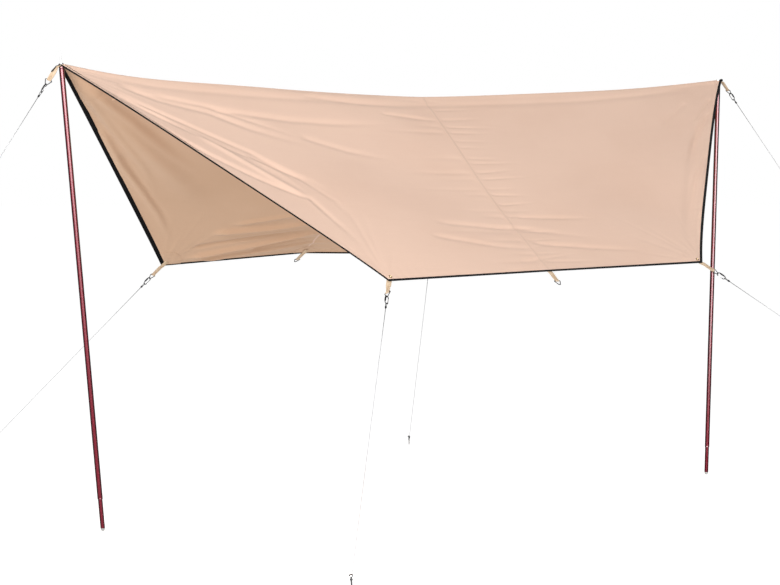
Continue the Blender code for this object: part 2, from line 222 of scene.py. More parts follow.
def cloth_look(name, light, dark, fine):
    """Woven sheet in (x, down the slope) metres: faint mottling, weave, slubs and small creases."""
    look = Look(name, light, 0.82, specular=0.18)
    look.set("Sheen Weight", 0.12)
    look.set("Sheen Roughness", 0.5)
    broad = look.noise(look.coordinates((1.3, 1.9, 1)), 1.0, 4.0)
    mottle = look.ramp(broad, ((0.30, dark), (0.52, light), (0.72, tuple(min(1, c * 1.02) for c in light))))
    slub = look.noise(look.coordinates((90, 1400, 1)), 1.0, 2.0)
    slub_tint = look.ramp(slub, ((0.35, (0.965, 0.96, 0.955)), (0.65, (1, 1, 1))))
    mix = look.add("ShaderNodeMix", {"data_type": "RGBA", "blend_type": "MULTIPLY"}, _0=1.0, _6=mottle, _7=slub_tint)
    look.link(mix[2], "Base Color")
    weave, _ = look.weave(0.0016)
    grain = look.bump(weave, 0.00012, 0.5)
    creases = look.noise(look.coordinates((5, 26, 1)), 1.0, 5.0, 0.55)
    crease_bump = look.bump(creases, fine, 0.6, grain)
    soft = look.noise(look.coordinates((3, 4, 1)), 1.0, 2.0)
    look.link(look.bump(soft, 0.012, 0.35, crease_bump), "Normal")
    return look.made


def tape_look(name, colour, edge, pitch):
    """Narrow woven tape: ribs across its length."""
    look = Look(name, colour, 0.80, specular=0.12)
    there = look.add("ShaderNodeTexCoord")["UV"]
    split = look.add("ShaderNodeSeparateXYZ", _0=there)
    ribs = look.math("SINE", look.math("MULTIPLY", split[0], 2 * math.pi / pitch))
    fibre = look.noise(look.coordinates((260, 1600, 1)), 1.0, 2.0)
    both = look.math("MULTIPLY_ADD", ribs, 0.25)
    height = look.math("ADD", both, fibre)
    look.link(look.bump(height, 0.00025, 0.7), "Normal")
    tint = look.noise(look.coordinates((30, 90, 1)), 1.0, 3.0)
    look.link(look.ramp(tint, ((0.35, edge), (0.65, colour))), "Base Color")
    return look.made


def pole_look():
    """Anodised tube: deep crimson under a clear coat, with faint streaks along it. Its colour is darkened at grazing
    angles: painted shade for a dark outline.
    """
    look = Look("anodised_crimson", (0.20, 0.003, 0.018), 0.22, metallic=0.30)
    look.set("Coat Weight", 1.0)
    look.set("Coat Roughness", 0.10)
    look.set("Coat IOR", 1.8)
    streak = look.noise(look.coordinates((3, 900, 1)), 1.0, 3.0)
    tint = look.ramp(streak, ((0.3, (0.185, 0.0025, 0.016)), (0.7, (0.225, 0.0035, 0.021))))
    facing = look.add("ShaderNodeLayerWeight", Blend=0.5)["Facing"]
    # painted shade: the colour turns near black towards the tube's outline, where it faces away
    edges = look.ramp(facing, ((0.07, (1, 1, 1)), (0.22, (0.38, 0.35, 0.36)), (0.42, (0.05, 0.03, 0.05))))
    mix = look.add("ShaderNodeMix", {"data_type": "RGBA", "blend_type": "MULTIPLY"}, _0=1.0, _6=tint, _7=edges)
    look.link(mix[2], "Base Color")
    rough = look.add("ShaderNodeMapRange", _0=streak, _1=0.3, _2=0.7, _3=0.18, _4=0.28)[0]
    look.link(rough, "Roughness")
    look.link(look.bump(streak, 0.00004, 0.4), "Normal")
    return look.made


def metal_look(name, colour, roughness, metallic=1.0):
    look = Look(name, colour, roughness, metallic=metallic)
    scratch = look.noise(look.coordinates((60, 1500, 60), "UV"), 1.0, 4.0)
    spread = look.add("ShaderNodeMapRange", _0=scratch, _1=0.3, _2=0.7, _3=roughness * 0.8, _4=roughness * 1.35)[0]
    look.link(spread, "Roughness")
    cloud = look.noise(look.coordinates((40, 40, 40), "Object"), 1.0, 2.0)
    worn = tuple(c * 0.82 for c in colour)
    look.link(look.ramp(cloud, ((0.35, worn), (0.65, colour))), "Base Color")
    look.link(look.bump(scratch, 0.00003, 0.5), "Normal")
    return look.made


def cord_look():
    """Braided line: pale grey with dark tracer threads, darker by its knot."""
    look = Look("braided_line", (0.42, 0.42, 0.43), 0.7, specular=0.3)
    there = look.add("ShaderNodeTexCoord")["UV"]
    split = look.add("ShaderNodeSeparateXYZ", _0=there)
    along = look.math("MULTIPLY", split[0], 2 * math.pi / 0.0042)
    around = look.math("MULTIPLY", split[1], 2 * math.pi * 4 / (2 * math.pi * CORD_RADIUS))
    one = look.math("SINE", look.math("ADD", along, around))
    two = look.math("SINE", look.math("SUBTRACT", along, around))
    braid = look.math("MAXIMUM", one, two)
    look.link(look.bump(braid, 0.0002, 0.8), "Normal")
    tracer = look.math("GREATER_THAN", look.math("MULTIPLY", one, two), 0.55)
    fleck = look.ramp(tracer, ((0.0, (0.60, 0.60, 0.61)), (1.0, (0.14, 0.14, 0.15))))
    near_knot = look.add("ShaderNodeMapRange", _0=split[0], _1=0.02, _2=0.26, _3=0.12, _4=1.0)[0]
    shade = look.add("ShaderNodeCombineColor", _0=near_knot, _1=near_knot, _2=near_knot)[0]
    mix = look.add("ShaderNodeMix", {"data_type": "RGBA", "blend_type": "MULTIPLY"}, _0=1.0, _6=fleck, _7=shade)
    look.link(mix[2], "Base Color")
    return look.made


def moulded_look():
    look = Look("moulded_grey", (0.50, 0.49, 0.48), 0.5, specular=0.4)
    grain = look.noise(look.coordinates((700, 700, 700), "Object"), 1.0, 2.0)
    look.link(look.bump(grain, 0.0001, 0.5), "Normal")
    scuff = look.noise(look.coordinates((90, 90, 90), "Object"), 1.0, 4.0)
    look.link(look.ramp(scuff, ((0.35, (0.36, 0.35, 0.34)), (0.6, (0.52, 0.51, 0.50)))), "Base Color")
    return look.made


OUTER = (0.75, 0.529, 0.414)
OUTER_DARK = (0.725, 0.502, 0.388)
# The inside is the same cloth, painted darker and warmer than the outside: painted shade and warm bounced light under
# the canopy.
INNER_SHADED = (0.61, 0.400, 0.266)
INNER_SHADED_DARK = (0.585, 0.377, 0.245)
LOOKS = {
    "outer": cloth_look("cloth_outside", OUTER, OUTER_DARK, 0.0016),
    "inner_shaded": cloth_look("cloth_inside_shaded", INNER_SHADED, INNER_SHADED_DARK, 0.0016),
    "seam": cloth_look("cloth_seam", tuple(c * 0.94 for c in OUTER), tuple(c * 0.90 for c in OUTER_DARK), 0.0008),
    "thread": tape_look("tan_thread", (0.60, 0.42, 0.30), (0.50, 0.34, 0.23), 0.0009),
    "binding": tape_look("black_tape", (0.009, 0.009, 0.010), (0.005, 0.005, 0.006), 0.0018),
    "black_thread": tape_look("black_thread", (0.014, 0.014, 0.016), (0.009, 0.009, 0.010), 0.0009),
    "webbing": tape_look("tan_webbing", (0.66, 0.51, 0.36), (0.54, 0.39, 0.26), 0.0022),
    "brown_thread": tape_look("brown_thread", (0.30, 0.18, 0.09), (0.24, 0.14, 0.07), 0.0009),
    "pole": pole_look(),
    "steel": metal_look("bright_steel", (0.66, 0.66, 0.67), 0.24),
    "gunmetal": metal_look("dark_ring_steel", (0.035, 0.035, 0.037), 0.26, 0.7),
    "hook": metal_look("black_anodised", (0.006, 0.006, 0.007), 0.45, 0.1),
    "brass": metal_look("pale_brass", (0.78, 0.62, 0.34), 0.24),
    "cord": cord_look(),
    "foot": moulded_look(),
}


# Meshes


def new_piece(name, points, faces, look, slot, body=TARP, replaces=(), uvs=None, angle=40, second=None):
    """A closed mesh that rides on a body. uvs has a pair for each corner of each face, in order."""
    mesh = bpy.data.meshes.new(name)
    mesh.from_pydata(np.asarray(points, float).tolist(), [], [list(map(int, f)) for f in faces])
    if uvs is not None:
        mesh.uv_layers.new(name="metres").data.foreach_set("uv", np.asarray(uvs, np.float32).ravel())
    mesh.materials.append(LOOKS[look])
    if second:
        mesh.materials.append(LOOKS[second[0]])
        mesh.polygons.foreach_set("material_index", np.asarray(second[1], np.int32))
    turned = bmesh.new()
    turned.from_mesh(mesh)
    bmesh.ops.recalc_face_normals(turned, faces=turned.faces)
    turned.to_mesh(mesh)
    turned.free()
    mesh.shade_smooth()
    mesh.set_sharp_from_angle(angle=math.radians(angle))
    made = bpy.data.objects.new(name, mesh)
    bpy.context.scene.collection.objects.link(made)
    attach(made, body)
    if replaces:
        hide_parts(*replaces)
    return made


class Parts:
    """Several lofts, gathered into one mesh."""

    def __init__(self):
        self.points, self.faces, self.uvs = [], [], []

    def loft(self, rings, closed=False, caps=True):
        """Rings of equally many points. The UV is metres along, and metres around."""
        rings = np.asarray(rings, float)
        n, m = rings.shape[:2]
        base = sum(len(p) for p in self.points)
        middle = rings.mean(1)
        along = np.concatenate([[0], np.cumsum(np.linalg.norm(np.diff(middle, axis=0), axis=1))])
        if along[-1] < 1e-9:
            along = np.arange(n) * 0.001
        around = np.linalg.norm(np.roll(rings, -1, axis=1) - rings, axis=2).mean(0)
        around = np.concatenate([[0], np.cumsum(around)])
        self.points.append(rings.reshape(-1, 3))
        step = np.linalg.norm(middle[0] - middle[-1])
        for i in range(n if closed else n - 1):
            k = (i + 1) % n
            u0 = along[i]
            u1 = along[k] if k else along[i] + step
            for j in range(m):
                l = (j + 1) % m
                self.faces.append((base + i * m + j, base + i * m + l, base + k * m + l, base + k * m + j))
                v0, v1 = around[j], around[j + 1]
                self.uvs += [(u0, v0), (u0, v1), (u1, v1), (u1, v0)]
        if not closed and caps:
            for i, order in ((0, range(m - 1, -1, -1)), (n - 1, range(m))):
                self.faces.append(tuple(base + i * m + j for j in order))
                self.uvs += [(along[i], around[j]) for j in order]
        return self

    def piece(self, name, look, slot, **more):
        points = np.concatenate(self.points)
        return new_piece(name, points, self.faces, look, slot, uvs=self.uvs, **more)


def frames_along(path, hint, closed=False):
    """The way on at each point of a path, and two directions square to it, the first near to hint."""
    path = np.asarray(path, float)
    if closed:
        way = unit(np.roll(path, -1, axis=0) - np.roll(path, 1, axis=0))
    else:
        way = unit(np.gradient(path, axis=0))
    hint = np.broadcast_to(np.asarray(hint, float), path.shape)
    first = unit(hint - way * (hint * way).sum(1, keepdims=True))
    return way, first, np.cross(way, first)


def section_rings(path, section, hint, closed=False):
    """A section's (a, b) pairs, a along hint and b square to it, placed at each point of a path."""
    path = np.asarray(path, float)
    _, first, second = frames_along(path, hint, closed)
    pairs = np.asarray(section, float)
    return path[:, None] + first[:, None] * pairs[None, :, :1] + second[:, None] * pairs[None, :, 1:]


def circle(radius, count):
    turns = 2 * np.pi * np.arange(count) / count
    return np.stack([radius * np.cos(turns), radius * np.sin(turns)], 1)


def rounded_bar(width, depth, steps=3):
    """A flat section with round edges: width along the first direction, depth along the second."""
    r = depth / 2
    turns = np.linspace(-np.pi / 2, np.pi / 2, steps + 2)
    right = np.stack([width / 2 - r + r * np.cos(turns), r * np.sin(turns)], 1)
    return np.concatenate([right, -right])


def turned(origin, way, profile, count=48):
    """Rings about an axis: each of the profile's pairs is (height, radius)."""
    way = unit(way)
    first = unit(np.cross(way, (0.0, 1.0, 0.0)))
    second = np.cross(way, first)
    turns = 2 * np.pi * np.arange(count) / count
    spokes = first * np.cos(turns)[:, None] + second * np.sin(turns)[:, None]
    return [np.asarray(origin) + way * h + spokes * r for h, r in profile]


def resampled(path, count):
    path = np.asarray(path, float)
    along = np.concatenate([[0], np.cumsum(np.linalg.norm(np.diff(path, axis=0), axis=1))])
    places = np.linspace(0, along[-1], count)
    return np.stack([np.interp(places, along, path[:, i]) for i in range(3)], 1)


def rounded(path, radius, steps=6):
    """A path with each of its corners cut to a curve that starts this far from the corner."""
    path = [np.asarray(p, float) for p in path]
    out = [path[0]]
    for before, here, after in zip(path, path[1:], path[2:]):
        back, on = before - here, after - here
        reach = min(radius, np.linalg.norm(back) * 0.45, np.linalg.norm(on) * 0.45)
        a, b = here + unit(back) * reach, here + unit(on) * reach
        for i in range(steps + 1):
            t = i / steps
            out.append(a * (1 - t) ** 2 + here * 2 * t * (1 - t) + b * t * t)
    out.append(path[-1])
    return np.array(out)


# The canopy's surface


def hump(x, start, end, lean=1.0):
    """A smooth rise and fall from 0 to 1 and back. A lean below 1 brings its top nearer to the start."""
    return np.sin(np.pi * np.clip((x - start) / (end - start), 0, 1) ** lean) ** 2


def flat_point(side, u, v):
    """The CAD's cloth, but for a slightly truer ridge line: u runs from tip to tip, v from the ridge to the long edge."""
    u, v = np.broadcast_arrays(np.asarray(u, float), np.asarray(v, float))
    x = TIPS["left"] + RIDGE_LENGTH * u + SEAM_SHIFT * np.sin(np.pi * u) ** 2
    share = np.abs(x - POLES_MIDDLE) / (RIDGE_SPAN / 2)
    sagged = RIDGE_HEIGHT - RIDGE_SAG * (0.8 * (1 - share**2) + 0.2 * (1 - share))
    reach = np.where(u < 0.5, TIP_REACH["left"], TIP_REACH["right"])
    past = RIDGE_HEIGHT - TIP_DROP * (share - 1) * (RIDGE_SPAN / 2) / reach
    from_pole = x + MIDDLE_PLACE + LEFT_LEAN
    trim = 0.007 * hump(from_pole, 1.9, 3.6) - 0.0155 * hump(from_pole, 0.0, 1.15, 0.66)
    ridge = np.stack([x, 0 * x, np.where(share < 1, sagged, past) + trim], -1)
    left, middle, right = (np.array(p) for p in (CORNERS[side + "_left"], EDGE_MIDDLES[side], CORNERS[side + "_right"]))
    t = u[..., None]
    edge = np.where(t <= 0.5, left + (middle - left) * 2 * t, middle + (right - middle) * (2 * t - 1))
    point = ridge + (edge - ridge) * v[..., None]
    point[..., 2] -= BELLY * np.sin(np.pi * v) * np.clip(np.sin(np.pi * u), 0, None) ** 0.7
    point[..., 0] += END_CURVE[side] * (1 - (2 * v - 1) ** 4) * (1 - 2 * u)
    return point + MIDDLE


def normals_of(side, u, v, shape):
    h = 0.0015
    along = shape(side, u + h, v) - shape(side, u - h, v)
    down = shape(side, u, v + h) - shape(side, u, v - h)
    return unit(np.cross(along, down)) * SIDES[side]


def chart(side, u, v):
    """Metres along the ridge from its middle, and metres down the slope."""
    return flat_point(side, u, v)[..., 0] - MIDDLE[0], np.asarray(v, float) * SLOPE


def from_chart(side, x, s):
    """The u and v of a place in the chart."""
    x, s = np.broadcast_arrays(np.asarray(x, float), np.asarray(s, float))
    v = s / SLOPE
    u = np.full(x.shape, 0.5)
    for _ in range(8):
        here = chart(side, u, v)[0]
        rise = (chart(side, u + 0.001, v)[0] - here) / 0.001
        u = np.clip(u + (x - here) / rise, -0.01, 1.01)
    return u, v


def place(side, u, v):
    """A fold's point, given as u and v, in the chart."""
    x, s = chart(side, u, v)
    return float(x), float(s)


# Folds that the photo shows: side, (u, v) points, half width, depth, share faded at the end
SEEN_FOLDS = (
    ("near", ((0.017, 0.111), (0.039, 0.217), (0.064, 0.294), (0.091, 0.356), (0.121, 0.427), (0.155, 0.498), (0.171, 0.622)), 0.020, 0.0052, 0.5),
    ("near", ((0.050, 0.057), (0.085, 0.112), (0.140, 0.152), (0.172, 0.224), (0.210, 0.270), (0.260, 0.310)), 0.022, 0.0048, 0.6),
    ("near", ((0.001, 0.219), (0.007, 0.330), (0.021, 0.412), (0.055, 0.511), (0.103, 0.596), (0.080, 0.759), (0.052, 0.881)), 0.018, 0.0042, 0.4),
    ("near", ((0.143, 0.130), (0.200, 0.150), (0.255, 0.167), (0.340, 0.170), (0.430, 0.163)), 0.020, 0.0040, 0.5),
    ("near", ((0.025, 0.123), (0.065, 0.227), (0.115, 0.360), (0.143, 0.487), (0.152, 0.600), (0.118, 0.767)), 0.016, 0.0036, 0.5),
    ("near", ((0.083, 0.087), (0.152, 0.123), (0.208, 0.213), (0.250, 0.273)), 0.016, 0.0034, 0.6),
    ("near", ((0.030, 0.143), (0.058, 0.277), (0.100, 0.373), (0.118, 0.497), (0.122, 0.613)), 0.014, -0.0030, 0.5),
    ("near", ((0.058, 0.277), (0.077, 0.437), (0.100, 0.583), (0.070, 0.750)), 0.018, -0.0036, 0.5),
    ("near", ((0.242, 0.250), (0.302, 0.313), (0.378, 0.357)), 0.020, 0.0030, 0.6),
    ("near", ((0.312, 0.027), (0.395, 0.053), (0.492, 0.060)), 0.016, 0.0024, 0.3),
    ("near", ((0.413, 0.103), (0.487, 0.127)), 0.012, 0.0032, 0.4),
    ("near", ((0.320, 0.700), (0.512, 0.740), (0.728, 0.840)), 0.018, 0.0034, 0.6),
    ("near", ((0.273, 0.773), (0.420, 0.843), (0.575, 0.880)), 0.018, 0.0030, 0.6),
    ("near", ((0.521, 0.670), (0.720, 0.717)), 0.014, 0.0034, 0.6),
    ("near", ((0.509, 0.825), (0.855, 0.929)), 0.016, 0.0036, 0.6),
    ("near", ((0.434, 0.938), (0.632, 0.900)), 0.014, 0.0024, 0.6),
    ("near", ((0.988, 0.104), (0.969, 0.195), (0.950, 0.240)), 0.010, 0.0034, 0.5),
    ("near", ((0.985, 0.180), (0.962, 0.330), (0.945, 0.520)), 0.014, 0.0044, 0.5),
    ("near", ((0.940, 0.110), (0.905, 0.200), (0.890, 0.300)), 0.014, 0.0026, 0.6),
    ("near", ((0.990, 0.420), (0.968, 0.560), (0.960, 0.720)), 0.012, 0.0036, 0.5),
    ("near", ((0.969, 0.225), (0.955, 0.556), (0.954, 0.931)), 0.030, 0.0040, 0.3),
    ("near", ((0.020, 0.030), (0.250, 0.050), (0.500, 0.045), (0.750, 0.050), (0.980, 0.030)), 0.022, 0.0026, 0.1),
    ("far", ((0.181, 0.812), (0.300, 0.790), (0.429, 0.757), (0.560, 0.790)), 0.020, 0.0085, 0.5),
    ("far", ((0.087, 0.961), (0.280, 0.905), (0.464, 0.834), (0.600, 0.850)), 0.018, 0.0085, 0.4),
    ("far", ((0.110, 0.900), (0.300, 0.850), (0.500, 0.800)), 0.016, -0.0055, 0.5),
    ("far", ((0.120, 0.985), (0.300, 0.955), (0.480, 0.915), (0.600, 0.920)), 0.014, 0.0060, 0.4),
    ("far", ((0.300, 0.935), (0.420, 0.890), (0.520, 0.870)), 0.012, -0.0045, 0.5),
    ("far", ((0.240, 0.760), (0.380, 0.700), (0.500, 0.690)), 0.018, 0.0045, 0.5),
    ("far", ((0.014, 0.282), (0.022, 0.463), (0.040, 0.585), (0.054, 0.701), (0.060, 0.880)), 0.020, 0.0055, 0.4),
    ("far", ((0.015, 0.110), (0.033, 0.263), (0.060, 0.427), (0.075, 0.603)), 0.022, 0.0055, 0.5),
    ("far", ((0.030, 0.080), (0.070, 0.203), (0.120, 0.357), (0.188, 0.500)), 0.026, 0.0060, 0.6),
    ("far", ((0.030, 0.387), (0.052, 0.610), (0.083, 0.800)), 0.018, -0.0035, 0.5),
    ("far", ((0.014, 0.045), (0.060, 0.260), (0.114, 0.473), (0.190, 0.700)), 0.060, 0.0140, 0.6),
    ("far", ((0.030, 0.030), (0.120, 0.220), (0.210, 0.420)), 0.035, 0.0060, 0.6),
)


FOLD_GAIN = {"near": 2.1, "far": 2.3}


def all_folds():
    """Every fold of each side as (points in the chart, half width, depth, share faded at the end)."""
    folds = {"near": [], "far": []}
    for side, points, width, depth, fade in SEEN_FOLDS:
        folds[side].append(([place(side, *p) for p in points], width, depth * FOLD_GAIN[side], fade))
    for side in SIDES:
        for half, turn in (("left", 1), ("right", -1)):
            # rays out of the tip, between the ridge and the end edge
            for angle in np.linspace(8, 46, 6):
                aim = math.radians(angle + random.uniform(-3, 3))
                reach = random.uniform(0.35, 0.95)
                start = np.array((TIPS[half], 0.0))
                way = np.array((turn * math.cos(aim), math.sin(aim)))
                folds[side].append(([start + way * 0.07, start + way * reach], random.uniform(0.008, 0.014),
                                    random.uniform(0.0008, 0.0016), 0.7))
            # rays out of the corner, between the long edge and the end edge
            x, s = place(side, 0.0 if half == "left" else 1.0, 1.0)
            for angle in np.linspace(6, 118, 9):
                aim = math.radians(angle + random.uniform(-4, 4))
                reach = random.uniform(0.25, 0.75)
                start = np.array((x, s))
                way = np.array((turn * math.cos(aim), -math.sin(aim)))
                folds[side].append(([start + way * 0.06, start + way * reach], random.uniform(0.009, 0.016),
                                    random.uniform(0.0008, 0.0018), 0.7))
        # puckers at the cross seam, short and close on the right and softer on the left
        for s in np.arange(0.05, 1.40, 0.062):
            s += random.uniform(-0.018, 0.018)
            start, _ = place(side, 0.5, s / SLOPE)
            reach = random.uniform(0.10, 0.42)
            drop = random.uniform(-0.01, 0.03)
            folds[side].append(([(start + 0.010, s), (start + reach, s + drop)], random.uniform(0.008, 0.011),
                                random.uniform(0.0018, 0.0050), 0.85))
            if random.uniform() < 0.75:
                reach = random.uniform(0.15, 0.60)
                folds[side].append(([(start - 0.010, s), (start - reach, s - 0.01)], random.uniform(0.012, 0.022),
                                    random.uniform(0.0018, 0.0038), 0.85))
    return folds


def fold_height(x, s, points, width, depth, fade):
    """A valley along a line, which starts quickly and fades over the last share of its length."""
    points = np.asarray(points, float)
    lengths = np.linalg.norm(np.diff(points, axis=0), axis=1)
    total = lengths.sum()
    best = np.full(x.shape, 1e9)
    along = np.zeros(x.shape)
    done = 0.0
    for a, b, length in zip(points, points[1:], lengths):
        way = (b - a) / length
        run = np.clip((x - a[0]) * way[0] + (s - a[1]) * way[1], 0, length)
        off = np.hypot(x - a[0] - run * way[0], s - a[1] - run * way[1])
        nearer = off < best
        best = np.where(nearer, off, best)
        along = np.where(nearer, done + run, along)
        done += length
    share = along / total
    strength = smooth_step(share / 0.12 + 0.15) * smooth_step((1 - share) / fade)
    return -depth * strength * np.exp(-((best / width) ** 2))


FOLDS = all_folds()
RIPPLES = [(random.uniform(1.5, 6), random.uniform(2, 11), random.uniform(0, 7), random.uniform(0.2, 1)) for _ in range(14)]


def relief(side, u, v):
    """How far the cloth stands off the CAD's surface."""
    x, s = chart(side, u, v)
    height = np.zeros(x.shape)
    for fold in FOLDS[side]:
        height += fold_height(x, s, *fold)
    for a, b, phase, size in RIPPLES:
        height += 0.0022 * size * np.sin(a * x + SIDES[side] * b * s + phase)
    from_end = np.minimum(u, 1 - u) * (RIDGE_LENGTH + (1.93 - RIDGE_LENGTH) * v)
    from_edge = np.clip((1 - v) * SLOPE, 0, None)
    pucker = 0.5 + 0.5 * np.sin(x * 7.1 + 1.3)
    height += 0.0018 * pucker * np.sin(x * 150 + 3 * np.sin(x * 13)) * np.exp(-from_edge / 0.030)
    height += 0.0018 * np.sin(s * 130 + 3 * np.sin(s * 11)) * np.exp(-np.clip(from_end, 0, None) / 0.030)
    # the tapes hold it flat
    calm = smooth_step(v * SLOPE / 0.03) * smooth_step((from_end - 0.016) / 0.030) * smooth_step((from_edge - 0.010) / 0.025)
    for cx, cs in ((TIPS["left"], 0), (TIPS["right"], 0), place(side, 0, 1), place(side, 1, 1), place(side, 0.5, 1)):
        calm = calm * smooth_step((np.hypot(x - cx, s - cs) - 0.015) / 0.06)
    return height * calm


def cloth_point(side, u, v):
    """The middle of the cloth's thickness, folds and all."""
    u, v = np.broadcast_arrays(np.asarray(u, float), np.asarray(v, float))
    shape = normals_of(side, u, v, flat_point)
    return flat_point(side, u, v) + shape * (relief(side, u, v) - HALF_CLOTH)[..., None]


def on_cloth(side, x, s, lift=0.0):
    """A point at a place of the chart, lifted off the cloth's middle along its normal."""
    u, v = from_chart(side, x, s)
    normal = normals_of(side, u, v, flat_point)
    return cloth_point(side, u, v) + normal * np.asarray(lift)[..., None], normal


# The camera


def make_camera():
    camera = bpy.data.objects.new("camera", bpy.data.cameras.new("camera"))
    bpy.context.scene.collection.objects.link(camera)
    camera.location = CAMERA_PLACE
    camera.rotation_euler = (math.pi / 2 - CAMERA_PITCH, 0, -CAMERA_YAW)
    camera.data.sensor_width = 36
    camera.data.lens = 36 * FOCAL_PIXELS / PHOTO_WIDTH
    camera.data.clip_end = 200
    bpy.context.scene.camera = camera


# Cloth


ACROSS = 140  # faces of a quarter, along the ridge
DOWN = 250  # and down the slope


def make_quarter(side, half):
    shares = np.linspace(0, 1, ACROSS + 1)
    shares = 0.75 * shares + 0.25 * smooth_step(shares)  # closer together at the tip and the seam
    us = 0.5 * shares + (0.0 if half == "left" else 0.5)
    vs = np.linspace(0, 1, DOWN + 1)
    u, v = np.meshgrid(us, vs, indexing="ij")
    middle = cloth_point(side, u, v)
    along = np.gradient(middle, axis=0)
    down = np.gradient(middle, axis=1)
    normal = unit(np.cross(along, down)) * SIDES[side]
    # both sides share their points on the ridge
    normal[:, 0] = UP
    top = (middle + normal * HALF_CLOTH).reshape(-1, 3)
    under = (middle - normal * HALF_CLOTH).reshape(-1, 3)
    x, s = chart(side, u, v)
    flat = np.stack([x, s], -1).reshape(-1, 2)
    count = len(top)
    index = np.arange(count).reshape(u.shape)
    quads = np.stack([index[:-1, :-1], index[1:, :-1], index[1:, 1:], index[:-1, 1:]], -1).reshape(-1, 4)
    loop = np.concatenate([index[:, 0], index[-1, 1:], index[-2::-1, -1], index[0, -2:0:-1]])
    after = np.roll(loop, -1)
    walls = np.stack([after, loop, loop + count, after + count], -1)
    faces = np.concatenate([quads, quads[:, ::-1] + count, walls])
    kinds = np.concatenate([np.zeros(len(quads)), np.ones(len(quads)), np.zeros(len(walls))])
    uvs = np.concatenate([flat, flat])[faces.reshape(-1)]
    points = np.concatenate([top, under])
    # the underside faces take the inside colour, which carries painted shade
    return new_piece(f"{side}_{half}_cloth", points, faces, "outer", "cloth", replaces=[f"canopy_{side}_{half}"],
                     uvs=uvs, angle=60, second=("inner_shaded", kinds))


def tape_section(above, below, half_depth=0.0013):
    """A tape folded over an edge: in from the fold, and off the cloth. It reaches further in below than above."""
    nose = [(0.0002 - 0.0014 * math.cos(t), half_depth * math.sin(t)) for t in np.linspace(-1.4, 1.4, 5)]
    top = [(above - 0.0008, half_depth), (above, half_depth * 0.75), (above + 0.0002, HALF_CLOTH * 0.4)]
    under = [(below + 0.0002, -HALF_CLOTH * 0.4), (below, -half_depth * 0.75), (below - 0.0008, -half_depth)]
    return np.array(nose + top + under)


def edge_stations(side, us, vs):
    """Places along an edge, the way in from it along the cloth, and the cloth's normal."""
    us, vs = np.broadcast_arrays(np.asarray(us, float), np.asarray(vs, float))
    points = cloth_point(side, us, vs)
    normal = normals_of(side, us, vs, flat_point)
    way = unit(np.gradient(points, axis=0))
    inward = unit(np.cross(normal, way))
    centre = cloth_point(side, np.full(us.shape, 0.5), np.full(us.shape, 0.4))
    flip = np.sign(((centre - points) * inward).sum(1, keepdims=True))
    return points, inward * flip, normal


def make_long_tape(side):
    us = np.linspace(0, 1, 260)
    points, inward, normal = edge_stations(side, us, 1.0)
    section = tape_section(0.0115, 0.013)
    rings = points[:, None] + inward[:, None] * section[None, :, :1] + normal[:, None] * section[None, :, 1:]
    made = Parts().loft(rings).piece(f"{side}_edge_tape", "binding", "binding", replaces=[f"{side}_edge_binding"])
    rows = [(points + inward * 0.0090 + normal * (0.0014 * face), normal * face) for face in (1, -1)]
    return made, rows


def bend_in(side, u, vs, stations, reach):
    """How far the cloth bends out of its edge's plane, this far in from the edge."""
    points, inward, normal = stations
    h = 0.001
    along_u = (cloth_point(side, u + h, vs) - cloth_point(side, u - h, vs)) / (2 * h)
    along_v = (cloth_point(side, u, vs + h) - cloth_point(side, u, vs - h)) / (2 * h)
    a, b, c = ((p * q).sum(1) for p, q in ((along_u, along_u), (along_u, along_v), (along_v, along_v)))
    d, e = ((p * inward).sum(1) for p in (along_u, along_v))
    share = a * c - b * b
    there = cloth_point(side, u + reach * (d * c - e * b) / share, np.clip(vs + reach * (e * a - d * b) / share, 0, 1))
    return ((there - points - inward * reach) * normal).sum(1)


END_TAPE_ABOVE = {"left": 0.0085, "right": 0.0135}
END_TAPE_BELOW = (0.018, 0.0215)  # of the near half and of the far half


def make_end_tape(half):
    u = 0.0 if half == "left" else 1.0
    vs = np.linspace(1, 0, 200)[:-1]
    near = edge_stations("near", u, vs)
    far = edge_stations("far", u, vs)
    ridge_in = unit((1.0 if half == "left" else -1.0, 0, 0.05))
    apex = cloth_point("near", u, 0.0)
    points = np.concatenate([near[0], apex[None], far[0][::-1]])
    inward = np.concatenate([near[1], ridge_in[None] * 1.25, far[1][::-1]])
    reaches = np.linspace(0, 0.024, 9)
    follows = [np.stack([bend_in(side, u, vs, stations, reach) for reach in reaches], 1)
               for side, stations in (("near", near), ("far", far))]
    bends = np.concatenate([follows[0], follows[0][-1:], follows[1][::-1]])
    normal = np.concatenate([near[2], UP[None] * 1.25, far[2][::-1]])
    above = END_TAPE_ABOVE[half]
    sections = [tape_section(above, below) for below in END_TAPE_BELOW]
    far_share = smooth_step(np.linspace(-8, 9, len(points)) + 0.5)[:, None, None]
    section = sections[0][None] * (1 - far_share) + sections[1][None] * far_share
    offs = np.stack([np.interp(row[:, 0], reaches, bend) for row, bend in zip(section, bends)])
    offs = (section[:, :, 1] + offs)[:, :, None]
    rings = points[:, None] + inward[:, None] * section[:, :, :1] + normal[:, None] * offs
    made = Parts().loft(rings).piece(f"{half}_end_tape", "binding", "binding", replaces=[f"{half}_end_binding"])
    rows = []
    for face in (1, -1):
        for stations in (near, far):
            p, i, n = (a[:-6] for a in stations)
            rows.append((p + i * (above - 0.0025 if face > 0 else 0.0155) + n * (0.0014 * face), n * face))
    return made, rows


